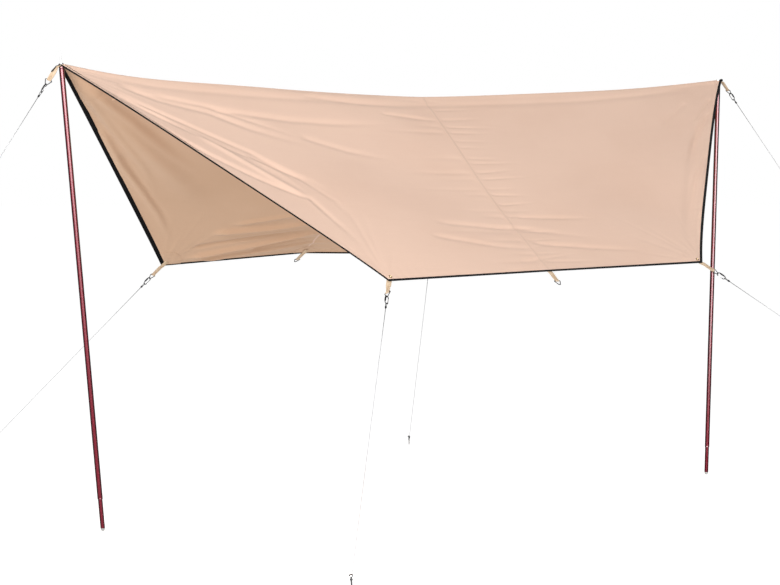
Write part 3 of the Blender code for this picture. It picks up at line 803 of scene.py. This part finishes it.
def make_cross_seam(side):
    s = np.linspace(0.004, SLOPE - 0.002, 170)[:, None]
    x, _ = chart(side, 0.5, s / SLOPE)
    offsets = np.array([-0.006, -0.0045, 0.0, 0.0045, 0.006])[None]
    lifts = np.array([0.0006, 0.0009, 0.0009, 0.0009, 0.0006])[None] + 0 * s
    top, normal = on_cloth(side, x + offsets, s + 0 * offsets, lifts)
    under, _ = on_cloth(side, x + offsets, s + 0 * offsets, -lifts)
    rings = np.concatenate([top, under[:, ::-1]], axis=1)
    made = Parts().loft(rings).piece(f"{side}_cross_seam", "seam", "cloth")
    rows = []
    for column in (1, 3):
        for face, points in ((1, top), (-1, under)):
            n = normal[:, column] * face
            rows.append((points[:, column] + n * 0.0001, n))
    return made, rows


def make_ridge_seam():
    us = np.linspace(0.006, 0.994, 300)
    offsets = (0.0075, 0.0062, 0.003, 0.0006)
    lifts = (0.0006, 0.0009, 0.0009, 0.0009)
    columns = {}
    for side in SIDES:
        for face in (1, -1):
            x, _ = chart(side, us, 0 * us)
            got = [on_cloth(side, x, 0 * x + o, 0 * x + lift * face) for o, lift in zip(offsets, lifts)]
            columns[side, face] = got
    order = [columns["near", 1][i][0] for i in range(4)] + [columns["far", 1][i][0] for i in (3, 2, 1, 0)]
    order += [columns["far", -1][i][0] for i in range(4)] + [columns["near", -1][i][0] for i in (3, 2, 1, 0)]
    rings = np.stack(order, axis=1)
    made = Parts().loft(rings).piece("ridge_seam", "seam", "cloth")
    rows = []
    for (side, face), got in columns.items():
        points, normal = got[1]
        rows.append((points + normal * (0.0001 * face), normal * face))
    return made, rows


def patch_rows(side, spot):
    """The rows of a patch round a corner, a tip or an edge's middle: chart x from left to right, and s."""
    kind, radius = ("tip", 0.300) if spot.startswith("tip") else ("corner", 0.115) if spot != "middle" else ("middle", 0.075)
    rows = []
    count = 26 if kind == "tip" else 18
    for i in range(count):
        share = i / (count - 1)
        if kind == "tip":
            s = 0.012 + share * (radius * 0.785 - 0.012)
            left = spot == "tip_left"
            edge = float(chart(side, 0.0 if left else 1.0, s / SLOPE)[0]) + (1 if left else -1) * 0.012
            arc = (TIPS["left"] if left else TIPS["right"]) + (1 if left else -1) * math.sqrt(radius**2 - s**2)
        else:
            t = 0.008 + share * (radius * 0.985 - 0.008)
            s = SLOPE - t
            half = math.sqrt(radius**2 - t**2)
            if kind == "middle":
                x = place(side, 0.5, 1)[0]
                edge, arc = x - half, x + half
            else:
                left = spot == "left"
                sign = 1 if left else -1
                x = place(side, 0.0 if left else 1.0, 1)[0]
                on_edge = float(chart(side, 0.0 if left else 1.0, s / SLOPE)[0]) + sign * 0.012
                edge = sign * max(sign * on_edge, sign * x - half)
                arc = x + sign * half
        rows.append((min(edge, arc), max(edge, arc), s))
    return rows


def make_patch(side, spot):
    """A second layer of cloth under a place that carries load, and its stitching."""
    rows = np.array(patch_rows(side, spot))
    shares = np.linspace(0, 1, 20)[None]
    xs = rows[:, :1] * (1 - shares) + rows[:, 1:2] * shares
    ss = rows[:, 2:] + 0 * xs
    near_cloth, normal = on_cloth(side, xs, ss, np.full(xs.shape, -HALF_CLOTH - 0.0001))
    below = near_cloth - normal * 0.0007
    n, m = xs.shape
    index = np.arange(n * m).reshape(n, m)
    quads = np.stack([index[:-1, :-1], index[1:, :-1], index[1:, 1:], index[:-1, 1:]], -1).reshape(-1, 4)
    loop = np.concatenate([index[:, 0], index[-1, 1:], index[-2::-1, -1], index[0, -2:0:-1]])
    after = np.roll(loop, -1)
    faces = np.concatenate([quads, quads[:, ::-1] + n * m, np.stack([after, loop, loop + n * m, after + n * m], -1)])
    flat = np.stack([xs + 0.13, ss + 0.29], -1).reshape(-1, 2)
    uvs = np.concatenate([flat, flat])[faces.reshape(-1)]
    points = np.concatenate([near_cloth.reshape(-1, 3), below.reshape(-1, 3)])
    # the patch lies under the cloth and takes the inside colour, painted darker as shade
    made = new_piece(f"{side}_{spot}_patch", points, faces, "inner_shaded", "cloth", uvs=uvs)
    # stitches along its free side, 4 mm and 11 mm in
    stitch_rows = []
    outer = xs[:, -1] if spot in ("left", "tip_left", "middle") else xs[:, 0]
    sign = -1 if spot in ("left", "tip_left", "middle") else 1
    for inset in (0.004, 0.011):
        line = [(outer[i] + sign * inset, ss[i, 0]) for i in range(n - 1)]
        if spot == "middle":
            line += [(xs[i, 0] + inset, ss[i, 0]) for i in range(n - 2, -1, -1)]
        line = np.array(line)
        for face, lift in ((1, HALF_CLOTH + 0.0001), (-1, -HALF_CLOTH - 0.0010)):
            points, normal = on_cloth(side, line[:, 0], line[:, 1], np.full(len(line), lift))
            stitch_rows.append((points, normal * face))
    return made, stitch_rows


def make_stitches(name, rows, look, slot="cloth", pitch=0.0052, length=0.0036, radius=0.00036):
    """Short raised threads along rows of (points, normals)."""
    template = np.array([(1, 0, 0), (-1, 0, 0), (0, 1, 0), (0, -1, 0), (0, 0, 1), (0, 0, -1)], float)
    triangles = [(0, 2, 4), (2, 1, 4), (1, 3, 4), (3, 0, 4), (2, 0, 5), (1, 2, 5), (3, 1, 5), (0, 3, 5)]
    points, faces = [], []
    for path, normal in rows:
        path, normal = np.asarray(path, float), np.asarray(normal, float)
        along = np.concatenate([[0], np.cumsum(np.linalg.norm(np.diff(path, axis=0), axis=1))])
        for place_along in np.arange(pitch, along[-1] - pitch / 2, pitch):
            i = min(np.searchsorted(along, place_along), len(path) - 1)
            a, b = path[i - 1], path[i]
            t = (place_along - along[i - 1]) / max(along[i] - along[i - 1], 1e-9)
            centre = a + (b - a) * t
            way = unit(b - a)
            up = unit(normal[i] - way * normal[i].dot(way))
            side = np.cross(up, way)
            frame_of = np.stack([way * length / 2, side * radius, up * radius])
            base = len(points)
            points += list(centre + template @ frame_of)
            faces += [(base + p, base + q, base + r) for p, q, r in triangles]
    return new_piece(name, points, faces, look, slot, angle=80)


# Hardware


def pull_of(place_name):
    """Where a set starts, the way it pulls, and the way that its flat side faces, as the CAD has them."""
    drop = UP * BINDING_DROP
    if place_name in ("left", "right"):
        sign = -1 if place_name == "left" else 1
        start = flat_point("near", 0.0 if sign < 0 else 1.0, 0.0) - drop
        hint = np.array((sign, 0.0, 1.0))
    elif place_name.endswith("middle"):
        side = place_name.split("_")[0]
        start = np.array(EDGE_MIDDLES[side]) + MIDDLE - drop
        hint = np.array((0.0, SIDES[side] * 0.68, 0.73))
    else:
        side = place_name.split("_")[0]
        start = np.array(CORNERS[place_name]) + MIDDLE - drop
        hint = np.array((0.0, SIDES[side] * 0.68, 0.73))
    if place_name.endswith("middle"):
        pull = unit(HANGING[place_name.split("_")[0]])
    else:
        pull = unit(np.array((*PEG_PLACES[place_name], 0.0)) + MIDDLE - start)
    flat = unit(hint - pull * hint.dot(pull))
    hint = np.array(TURNED.get(place_name, hint))
    normal = unit(hint - pull * hint.dot(pull))
    outward = unit(np.cross(np.cross(pull, normal), UP))
    depth = WEBBING_DEPTH + WEBBING_PLY_GAP / 2
    clear = (GAP + depth * abs(normal.dot(outward))) / abs(pull.dot(outward))
    return start + pull * (clear - STARTS_NEARER.get(place_name, 0.0)), pull, normal, flat


def make_webbing(place_name, start, bar, pull, normal, flat):
    """A strap doubled round its ring, its ends sewn under the cloth. It twists from the cloth to its ring."""
    lies = np.cross(pull, flat)
    wide = np.cross(pull, normal)
    twist = math.atan2(normal.dot(lies), normal.dot(flat))
    ply = (WEBBING_DEPTH + WEBBING_PLY_GAP) / 2
    round_bar = RING_WIRE + GAP + WEBBING_DEPTH / 2
    if place_name in ("left", "right"):
        inward = unit((1 if place_name == "left" else -1, 0.0, -0.03))
        tab, under = (0.008, 0.0040)
    else:
        side, spot = place_name.split("_")
        face = normals_of(side, {"left": 0.0, "right": 1.0, "middle": 0.5}[spot], 1.0, flat_point)
        inward = unit(np.cross(face, lies))
        inward = -inward if inward.dot(pull) > 0 else inward
        tab, under = (0.042, 0.0036)
    edge = start - pull * 0.002 - UP * under
    last = bar - pull * (round_bar * 3)
    centre = resampled(rounded([edge + inward * tab, edge + inward * 0.004, start + pull * 0.006, last], 0.008), 44)
    way = unit(np.gradient(centre, axis=0))
    share = smooth_step(((centre - start) @ pull - 0.004) / (0.72 * np.linalg.norm(last - start)))[:, None]
    across = lies * np.cos(twist * share) - flat * np.sin(twist * share)
    across = unit(across - way * (across * way).sum(1, keepdims=True))
    off = np.cross(across, way)
    turns = np.radians(np.linspace(60, 300, 13))[:, None]
    loop = bar - pull * (round_bar * np.cos(turns)) + normal * (round_bar * np.sin(turns))
    line = np.concatenate([centre + off * ply, loop, (centre - off * ply)[::-1]])
    hints = np.concatenate([across, np.repeat(wide[None], len(loop), 0), across[::-1]])
    rings = section_rings(line, rounded_bar(WEBBING_WIDTH, WEBBING_DEPTH), hints)
    # gathered in where it goes through the ring
    gather = 0.12 * smooth_step(1 - np.linalg.norm(line - bar, axis=1) / 0.05)
    for ring, middle, hint, share in zip(rings, line, hints, gather):
        ring -= np.outer((ring - middle) @ hint * share, hint)
    Parts().loft(rings).piece(f"{place_name}_strap", "webbing", "webbing", replaces=[f"{place_name}_webbing"])
    # stitches that close the loop behind the ring
    rows = []
    half = WEBBING_WIDTH / 2 - 0.0035
    near_bar = bar - pull * 0.013
    for face in (1, -1):
        lift = normal * (face * (ply + WEBBING_DEPTH / 2 + 0.0001))
        for back in (0.0, 0.003, 0.006):
            ends = [near_bar - pull * back + wide * q + lift for q in (-half, half)]
            rows.append((np.array(ends), np.array([normal * face] * 2)))
    make_stitches(f"{place_name}_strap_stitching", rows, "brown_thread", "webbing", pitch=0.0034, length=0.0026)
    if place_name == "left":
        make_tail(centre, across, off, start, pull)


def make_tail(centre, across, off, start, pull):
    """The end of the left tape, folded over the upper edge of its strap."""
    chosen = ((centre - start) @ pull > -0.004) & ((centre - start) @ pull < 0.044)
    path = centre[chosen] + across[chosen] * (WEBBING_WIDTH / 2 - 0.0015)
    section = [(0.0030, 0.0030), (0.0024, 0.0036), (-0.0050, 0.0036), (-0.0054, 0.0030), (-0.0054, -0.0030), (-0.0050, -0.0036),
               (0.0024, -0.0036), (0.0030, -0.0030)]
    rings = section_rings(path, section, across[chosen])
    Parts().loft(rings).piece("left_tape_tail", "binding", "binding")


def make_tip_fold():
    """The ends of the right tapes, folded into a thick black tab on the tip."""
    tip = flat_point("near", 1.0, 0.0)
    rings = []
    for along, half_width, up, down in ((-0.013, 0.0050, 0.0010, 0.002), (-0.012, 0.0070, 0.0030, 0.004), (-0.007, 0.0085, 0.0062, 0.005),
                                        (-0.001, 0.0085, 0.0078, 0.006), (0.003, 0.0075, 0.0072, 0.006), (0.0055, 0.0055, 0.0045, 0.005),
                                        (0.0062, 0.0030, 0.0020, 0.003)):
        turns = 2 * np.pi * np.arange(20) / 20
        high = np.where(np.sin(turns) > 0, up, down) * np.abs(np.sin(turns)) ** 0.7 * np.sign(np.sin(turns))
        wide = half_width * np.sign(np.cos(turns)) * np.abs(np.cos(turns)) ** 0.7
        rings.append(np.stack([tip[0] + along - 0.001 + 0 * turns, tip[1] + wide, tip[2] + 0.002 + high], 1))
    Parts().loft(rings).piece("right_tape_fold", "binding", "binding")


def make_ring(place_name, bar, pull, normal):
    wide = np.cross(pull, normal)
    half = RING_WIDTH / 2
    corner = RING_BEND / 2
    slope = math.atan2(half, RING_LENGTH)
    tip = bar + pull * (RING_LENGTH - RING_BEND)
    path = []
    for turn in np.linspace(-(math.pi / 2 - slope), math.pi / 2 - slope, 14):
        path.append(tip + pull * (RING_BEND * math.cos(turn)) + wide * (RING_BEND * math.sin(turn)))
    for sign in (1, -1):
        centre = bar + pull * corner + wide * (sign * (half - corner))
        shares = np.linspace(0, 1, 10) if sign == 1 else np.linspace(1, 0, 10)
        for share in shares:
            turn = (math.pi / 2 - slope) + (math.pi / 2 + slope) * share
            path.append(centre + pull * (corner * math.cos(turn)) + wide * (sign * corner * math.sin(turn)))
    rings = section_rings(path, circle(RING_WIRE, 16), normal, closed=True)
    return Parts().loft(rings, closed=True).piece(f"{place_name}_wire_ring", "gunmetal", "metal",
                                                  replaces=[f"{place_name}_ring"])


HOOK_STOUTER = 0.9


def make_hook(place_name, start, pull, normal):
    """A snap hook, with a rivet through it where its gate turns."""
    wide = np.cross(pull, normal)
    first = start + pull * HOOK_BEND
    second = first + pull * HOOK_STRAIGHT
    path = [first - normal * HOOK_BEND + pull * HOOK_STUB]
    for turn in np.linspace(0, np.pi, 22):
        path.append(first - normal * (HOOK_BEND * math.cos(turn)) - pull * (HOOK_BEND * math.sin(turn)))
    for turn in np.linspace(0, np.pi, 22):
        path.append(second + normal * (HOOK_BEND * math.cos(turn)) + pull * (HOOK_BEND * math.sin(turn)))
    path.append(second - normal * HOOK_BEND - pull * HOOK_STUB)
    path = resampled(path, 70)
    run = (path - start) @ pull
    on_back = smooth_step((run - 0.006) / 0.010) * smooth_step((HOOK_STRAIGHT + 0.012 - run) / 0.010) * ((path - first) @ normal > 0)
    rings = section_rings(path, circle(HOOK_WIRE, 18), wide)
    # stouter than the wire along its back, between its two bends
    rings = path[:, None] + (rings - path[:, None]) * (1 + HOOK_STOUTER * on_back)[:, None, None]
    # the two ends are domed
    rings = [path[0] + (rings[0] - path[0]) * 0.72 + pull * 0.0003, *rings, path[-1] + (rings[-1] - path[-1]) * 0.72 - pull * 0.0003]
    rings[1] = rings[1] - pull * 0.0004
    rings[-2] = rings[-2] + pull * 0.0004
    made = Parts().loft(rings).piece(f"{place_name}_snap_hook", "hook", "hook", replaces=[f"{place_name}_hook"])
    hinge = second - normal * HOOK_BEND - pull * (HOOK_STUB + GAP + KNUCKLE_RADIUS)
    nose = first - normal * HOOK_BEND + pull * (HOOK_STUB + GAP)
    make_gate(place_name, hinge, nose, pull, normal)
    return made, second + pull * HOOK_BEND


def make_gate(place_name, hinge, nose, pull, normal):
    """A wire gate with a flattened knuckle."""
    wide = np.cross(pull, normal)
    parts = Parts()
    bar = [nose, nose + pull * 0.0006, nose + (hinge - nose) * 0.5, hinge - pull * KNUCKLE_RADIUS * 0.6]
    rings = section_rings(resampled(bar, 12), circle(GATE_RADIUS, 14), wide)
    rings[0] = bar[0] + (rings[0] - rings[0].mean(0)) * 0.7
    parts.loft(rings)
    knuckle = turned_about(hinge, wide, ((-0.0015, 0.0014), (-0.0012, 0.0020), (0.0012, 0.0020), (0.0015, 0.0014)), 20)
    parts.loft(knuckle)
    parts.piece(f"{place_name}_gate_bar", "steel", "metal", body=f"{place_name}_hook_gate", replaces=[f"{place_name}_gate"])


def turned_about(centre, axis, profile, count):
    axis = unit(axis)
    first = unit(np.cross(axis, (0.31, 0.87, 0.22)))
    second = np.cross(axis, first)
    turns = 2 * np.pi * np.arange(count) / count
    spokes = first * np.cos(turns)[:, None] + second * np.sin(turns)[:, None]
    return [np.asarray(centre) + axis * h + spokes * r for h, r in profile]


def make_line(place_name, bend, pull, normal):
    """A guy line looped through its hook, knotted, and tied round its peg."""
    wide = np.cross(pull, normal)
    start = bend + pull * HOOK_WIRE
    ground = MIDDLE + np.array((*PEG_PLACES[place_name], 0.0))
    down = unit(ground - start)
    outward = unit((down[0], down[1], 0.0))
    lean = UP * math.cos(PEG_LEAN) + outward * math.sin(PEG_LEAN)
    tie = ground - down * (PEG_TIE_HEIGHT / -down[2])
    foot = tie - lean * (PEG_TIE_HEIGHT / lean[2])
    knot = start + down * 0.020
    parts = Parts()
    reach = HOOK_WIRE + CORD_RADIUS + 0.0002
    loop = [knot + wide * 0.0016, bend + wide * (reach + 0.0002) + pull * 0.006]
    for turn in np.linspace(0, np.pi, 9):
        loop.append(bend + wide * (reach * math.cos(turn)) - pull * (reach * math.sin(turn)))
    loop += [bend - wide * (reach + 0.0002) + pull * 0.006, knot - wide * 0.0016]
    parts.loft(section_rings(resampled(loop, 40), circle(CORD_RADIUS, 10), normal))
    end_reach = PEG_RADIUS + CORD_RADIUS * 0.9
    line = resampled([knot - down * 0.002, tie - down * (end_reach + 0.001)], 60)
    parts.loft(section_rings(line, circle(CORD_RADIUS, 10), wide))
    # round the peg, square to its lean
    side = unit(np.cross(lean, down))
    front = np.cross(side, lean)
    turns = np.linspace(0, 2 * np.pi, 28, endpoint=False)
    around = [tie + front * (end_reach * math.cos(t)) + side * (end_reach * math.sin(t)) for t in turns]
    parts.loft(section_rings(around, circle(CORD_RADIUS, 10), lean, closed=True), closed=True)
    parts.piece(f"{place_name}_cord", "cord", "cord", replaces=[f"{place_name}_guy_line"])
    knots = Parts()
    for centre, turns_made, length in ((knot, 4, 0.013), (tie - down * (end_reach + 0.014), 4, 0.013)):
        t = np.linspace(0, 1, 24 * turns_made)
        angle = 2 * np.pi * turns_made * t
        radius = 0.0029 - 0.0006 * np.cos(2 * np.pi * t)
        coil = (centre + down * ((t - 0.5) * length)[:, None] + wide * (radius * np.cos(angle))[:, None]
                + np.cross(down, wide) * (radius * np.sin(angle))[:, None])
        knots.loft(section_rings(coil, circle(CORD_RADIUS, 8), down))
    knots.piece(f"{place_name}_knots", "black_thread", "cord")
    make_peg(place_name, foot, lean, outward)


def make_peg(place_name, foot, lean, outward):
    """A round pin with a domed head, cut off where it goes into the ground."""
    first = unit(np.cross(lean, outward))
    second = np.cross(lean, first)
    turns = 2 * np.pi * np.arange(32) / 32
    spokes = first * np.cos(turns)[:, None] + second * np.sin(turns)[:, None]
    neck = PEG_HEIGHT - PEG_HEAD_DEPTH
    head = PEG_HEAD_RADIUS
    profile = [
        (0.012, PEG_RADIUS), (PEG_TIE_HEIGHT - 0.006, PEG_RADIUS), (neck - 0.001, PEG_RADIUS), (neck, PEG_RADIUS + 0.001),
        (neck, head - 0.0012), (neck + 0.0008, head - 0.0003), (neck + 0.0025, head), (PEG_HEIGHT - 0.0012, head - 0.0008),
        (PEG_HEIGHT - 0.0003, head * 0.72), (PEG_HEIGHT, head * 0.35),
    ]
    rings = [foot + lean * h + spokes * r for h, r in profile]
    level = foot + spokes * PEG_RADIUS
    level = level - lean * (level[:, 2:] / lean[2])
    Parts().loft([level, *rings]).piece(f"{place_name}_pin", "steel", "metal", replaces=[f"{place_name}_peg"])


def make_pole(half, foot, top):
    way = unit(top - foot)
    lower_body = f"{half}_lower_pole"
    tip = [(0.0, TIP_RADIUS - 0.0012), (0.0008, TIP_RADIUS), (0.006, TIP_RADIUS + 0.0022), (TIP_LENGTH - 0.003, LOWER_RADIUS - 0.0008),
           (TIP_LENGTH - 0.001, LOWER_RADIUS), (TIP_LENGTH, LOWER_RADIUS - 0.0004)]
    rings = turned(foot, way, tip)
    rings[0] = rings[0] * (1, 1, 0)
    Parts().loft(rings).piece(f"{half}_foot", "foot", "foot", body=lower_body, replaces=[f"{half}_foot_tip"])
    base = TIP_LENGTH + GAP
    end = base + LOWER_SHOWN + LOWER_HIDDEN
    r = LOWER_RADIUS
    profile = [(base, r - 0.0005), (base + 0.0005, r), (base + 0.02, r), (base + LOWER_SHOWN / 2, r), (end - 0.0005, r), (end, r - 0.0005),
               (end, LOWER_BORE), (base, LOWER_BORE)]
    Parts().loft(turned(foot, way, profile), closed=True).piece(
        f"{half}_lower_section", "pole", "pole", body=lower_body, replaces=[f"{half}_lower_tube"])
    start = base + LOWER_SHOWN
    finish = np.linalg.norm(top - foot) - CAP_BELOW_CLOTH - GAP
    r = UPPER_RADIUS
    profile = [(start, r - 0.0002), (start + 0.0004, r + 0.0003), (start + 0.0024, r + 0.0003), (start + 0.0032, r), (start + 0.0045, r)]
    profile += [(h, r) for h in np.linspace(start + 0.05, finish - 0.0006, 24)]
    profile += [(finish, r - 0.0006), (finish, UPPER_BORE), (start, UPPER_BORE)]
    Parts().loft(turned(foot, way, profile), closed=True).piece(
        f"{half}_upper_section", "pole", "pole", replaces=[f"{half}_upper_tube"])
    cap = finish + GAP
    above = cap + CAP_BELOW_CLOTH + SPIKES_SHOWN[half]
    profile = [
        (cap - CAP_PLUG, UPPER_BORE - GAP), (cap, UPPER_BORE - GAP), (cap, UPPER_RADIUS - 0.0005), (cap + 0.0006, UPPER_RADIUS),
        (cap + 0.0080, UPPER_RADIUS), (cap + 0.0092, UPPER_RADIUS - 0.0008), (cap + SHOULDER_HEIGHT - 0.001, SHOULDER_RADIUS + 0.0030),
        (cap + SHOULDER_HEIGHT, SHOULDER_RADIUS), (cap + SHOULDER_HEIGHT, SPIKE_RADIUS), (cap + CAP_BELOW_CLOTH, SPIKE_RADIUS),
        (above - 0.004, SPIKE_RADIUS * 0.8), (above - 0.001, SPIKE_RADIUS * 0.62), (above, SPIKE_RADIUS * 0.3),
    ]
    made = Parts().loft(turned(foot, way, profile))
    heights = (np.concatenate(made.points) - foot) @ way
    is_cap = [float(max(heights[list(f)]) < cap + SHOULDER_HEIGHT - 0.0005) for f in made.faces]
    made.piece(f"{half}_cap_and_spike", "steel", "metal", replaces=[f"{half}_pole_spike"], second=("pole", is_cap))


def make_grommet(name, centre, axis, radius, bore, half_depth, look="steel"):
    """Two pressed washers with a rolled rim."""
    parts = Parts()
    profile = [
        (-half_depth, bore), (-half_depth - 0.0007, bore + 0.0010), (-half_depth - 0.0008, bore + 0.0020), (-half_depth - 0.0002, radius - 0.0006),
        (-half_depth, radius), (half_depth, radius), (half_depth + 0.0002, radius - 0.0006), (half_depth + 0.0008, bore + 0.0020),
        (half_depth + 0.0007, bore + 0.0010), (half_depth, bore),
    ]
    parts.loft(turned_about(centre, axis, profile, 36), closed=True)
    return parts.piece(name, look, "metal")


# Making it all

make_camera()

for side in SIDES:
    for half in ("left", "right"):
        make_quarter(side, half)

tape_rows = []
tapes = {}
for side in SIDES:
    tapes[side], rows = make_long_tape(side)
    tape_rows += rows
for half in ("left", "right"):
    tapes[half], rows = make_end_tape(half)
    tape_rows += rows
tape_stitching = make_stitches("tape_stitching", tape_rows, "black_thread", "binding")

ridge_seam, rows = make_ridge_seam()
ridge_stitching = make_stitches("ridge_stitching", rows, "thread")
seams = {}
for side in SIDES:
    seam, rows = make_cross_seam(side)
    seams[side] = [seam, make_stitches(f"{side}_seam_stitching", rows, "thread")]
    patch_stitches = []
    for spot in ("tip_left", "tip_right", "left", "right", "middle"):
        patch, rows = make_patch(side, spot)
        seams[side].append(patch)
        patch_stitches += rows
    seams[side].append(make_stitches(f"{side}_patch_stitching", patch_stitches, "thread"))

for place_name in (*PEG_PLACES, "near_middle", "far_middle"):
    start, pull, normal, flat = pull_of(place_name)
    bar = start + pull * (LEFT_WEBBING_LENGTH if place_name == "left" else WEBBING_LENGTH)
    make_webbing(place_name, start, bar, pull, normal, flat)
    make_ring(place_name, bar, pull, normal)
    if place_name in PEG_PLACES:
        hooked = bar + pull * (RING_LENGTH - RING_WIRE - HOOK_WIRE - GAP)
        _, bend = make_hook(place_name, hooked, pull, normal)
        make_line(place_name, bend, pull, normal)

make_tip_fold()
tops = {"left": np.array((-LEFT_LEAN, 0.0, RIDGE_HEIGHT)), "right": np.array((RIDGE_SPAN - LEFT_LEAN, 0.0, RIDGE_HEIGHT))}
feet = {"left": np.zeros(3), "right": tops["right"] - (RIGHT_LEAN, 0.0, RIDGE_HEIGHT)}
for half in ("left", "right"):
    make_pole(half, feet[half], tops[half])
    make_grommet(f"{half}_tip_eyelet", tops[half] - UP * 0.0010, unit(tops[half] - feet[half]), 0.0085, 0.0034, 0.0022)
for side in SIDES:
    for half, sign in (("left", 1), ("right", -1)):
        x, s = place(side, 0.0 if half == "left" else 1.0, 1.0)
        centre, face = on_cloth(side, x + sign * 0.020, s - 0.026)
        make_grommet(f"{side}_{half}_eyelet", centre, face, 0.0088, 0.0048, 0.0014, "brass")


# Floor and light


def make_floor():
    """A white floor. Metal sees it as dark, but for a bright stretch far off on the camera's side."""
    bpy.ops.mesh.primitive_circle_add(vertices=96, radius=90, fill_type="NGON", location=(0, 0, -0.0005))
    floor = bpy.context.object
    floor.name = "floor"
    look = Look("pale_floor", (0.86, 0.86, 0.86), 0.9, specular=0.0)
    tone = look.noise(look.coordinates((0.4, 0.4, 0.4), "Object"), 1.0, 2.0)
    look.link(look.ramp(tone, ((0.3, (0.84, 0.84, 0.84)), (0.7, (0.87, 0.87, 0.87)))), "Base Color")
    look.set("Emission Color", (1, 1, 1, 1))
    look.set("Emission Strength", FLOOR_GLOW)
    spot = look.add("ShaderNodeTexCoord")["Object"]
    from_middle = look.add("ShaderNodeVectorMath", {"operation": "SUBTRACT"}, _0=spot, _1=(MIDDLE_PLACE, 0.0, 0.0))[0]
    way = look.add("ShaderNodeVectorMath", {"operation": "NORMALIZE"}, _0=from_middle)[0]
    front = look.add("ShaderNodeVectorMath", {"operation": "DOT_PRODUCT"}, _0=way, _1=TO_CAMERA)["Value"]
    round_it = look.add("ShaderNodeMapRange", _0=front, _1=-0.1, _2=0.75, _3=0.01, _4=0.22)[0]
    distance = look.add("ShaderNodeVectorMath", {"operation": "LENGTH"}, _0=from_middle)["Value"]
    far_off = look.add("ShaderNodeMapRange", _0=distance, _1=5.0, _2=36.0, _3=0.0, _4=PANEL_GLOW)[0]
    in_line = look.add("ShaderNodeMapRange", _0=front, _1=0.83, _2=0.955, _3=0.0, _4=1.0)[0]
    panel = look.math("MULTIPLY", far_off, in_line)
    to_metal = look.math("ADD", panel, round_it)
    rays = look.add("ShaderNodeLightPath")
    strength = look.add("ShaderNodeMix", _0=rays["Is Glossy Ray"], _2=FLOOR_TO_CLOTH, _3=to_metal)[0]
    unseen = look.add("ShaderNodeEmission", Strength=strength)[0]
    mix = look.add("ShaderNodeMixShader", _0=rays["Is Camera Ray"], _1=unseen, _2=look.shader.outputs[0])[0]
    look.tree.links.new(mix, look.tree.nodes["Material Output"].inputs[0])
    floor.data.materials.append(look.made)


def make_light(name, place_at, aim, size, power):
    lamp = bpy.data.lights.new(name, "AREA")
    lamp.shape = "RECTANGLE"
    lamp.size, lamp.size_y = size
    lamp.energy = power
    made = bpy.data.objects.new(name, lamp)
    bpy.context.scene.collection.objects.link(made)
    made.location = place_at
    made.rotation_euler = Vector(np.array(aim) - np.array(place_at)).to_track_quat("-Z", "Y").to_euler()


def make_world():
    """White to the eye. It lights the cloth more softly, and the metal sees a bright panel on the camera's side."""
    world = bpy.data.worlds.new("studio")
    bpy.context.scene.world = world
    world.use_nodes = True
    tree = world.node_tree

    def add(kind, settings=(), **inputs):
        node = tree.nodes.new(kind)
        for key, value in dict(settings).items():
            setattr(node, key, value)
        for key, value in inputs.items():
            socket = node.inputs[int(key[1:])]
            if isinstance(value, bpy.types.NodeSocket):
                tree.links.new(value, socket)
            else:
                socket.default_value = value
        return node.outputs

    rays = add("ShaderNodeLightPath")
    way = add("ShaderNodeTexCoord")["Generated"]
    front = add("ShaderNodeVectorMath", {"operation": "DOT_PRODUCT"}, _0=way, _1=TO_CAMERA)["Value"]
    to_right = (-TO_CAMERA[1], TO_CAMERA[0], 0.0)
    sideways = add("ShaderNodeVectorMath", {"operation": "DOT_PRODUCT"}, _0=way, _1=to_right)["Value"]
    bearing = add("ShaderNodeMath", {"operation": "ARCTAN2"}, _0=sideways, _1=front)[0]
    offset = add("ShaderNodeMath", {"operation": "SUBTRACT"}, _0=bearing, _1=PANEL_BEARING)[0]
    width = add("ShaderNodeMath", {"operation": "ABSOLUTE"}, _0=offset)[0]
    panel = add("ShaderNodeMapRange", _0=width, _1=0.30, _2=0.60, _3=PANEL_GLOW, _4=0.0)[0]
    round_it = add("ShaderNodeMapRange", _0=front, _1=-0.1, _2=0.75, _3=0.01, _4=0.20)[0]
    seen_by_metal = add("ShaderNodeMath", {"operation": "ADD"}, _0=panel, _1=round_it)[0]
    not_eye = add("ShaderNodeMix", _0=rays["Is Glossy Ray"], _2=SKY, _3=seen_by_metal)[0]
    strength = add("ShaderNodeMix", _0=rays["Is Camera Ray"], _2=not_eye, _3=1.0)[0]
    background = tree.nodes["Background"]
    background.inputs[0].default_value = (1, 1, 1, 1)
    tree.links.new(strength, background.inputs[1])


SKY = 0.45
FLOOR_GLOW = 0.62
FLOOR_TO_CLOTH = 0.92
PANEL_GLOW = 7.0
PANEL_BEARING = math.radians(15)  # to the right of the camera, as seen from the tarp
TO_CAMERA = (-math.sin(CAMERA_YAW), -math.cos(CAMERA_YAW), 0.0)
make_floor()
make_world()
bpy.context.scene.view_settings.view_transform = "Standard"
make_light("key", (-6.4, -4.4, 3.6), (1.6, -0.2, 1.7), (2.4, 1.8), 560)
make_light("fill", (4.0, -11.0, 6.0), (1.8, 0.0, 1.2), (3.0, 3.0), 430)
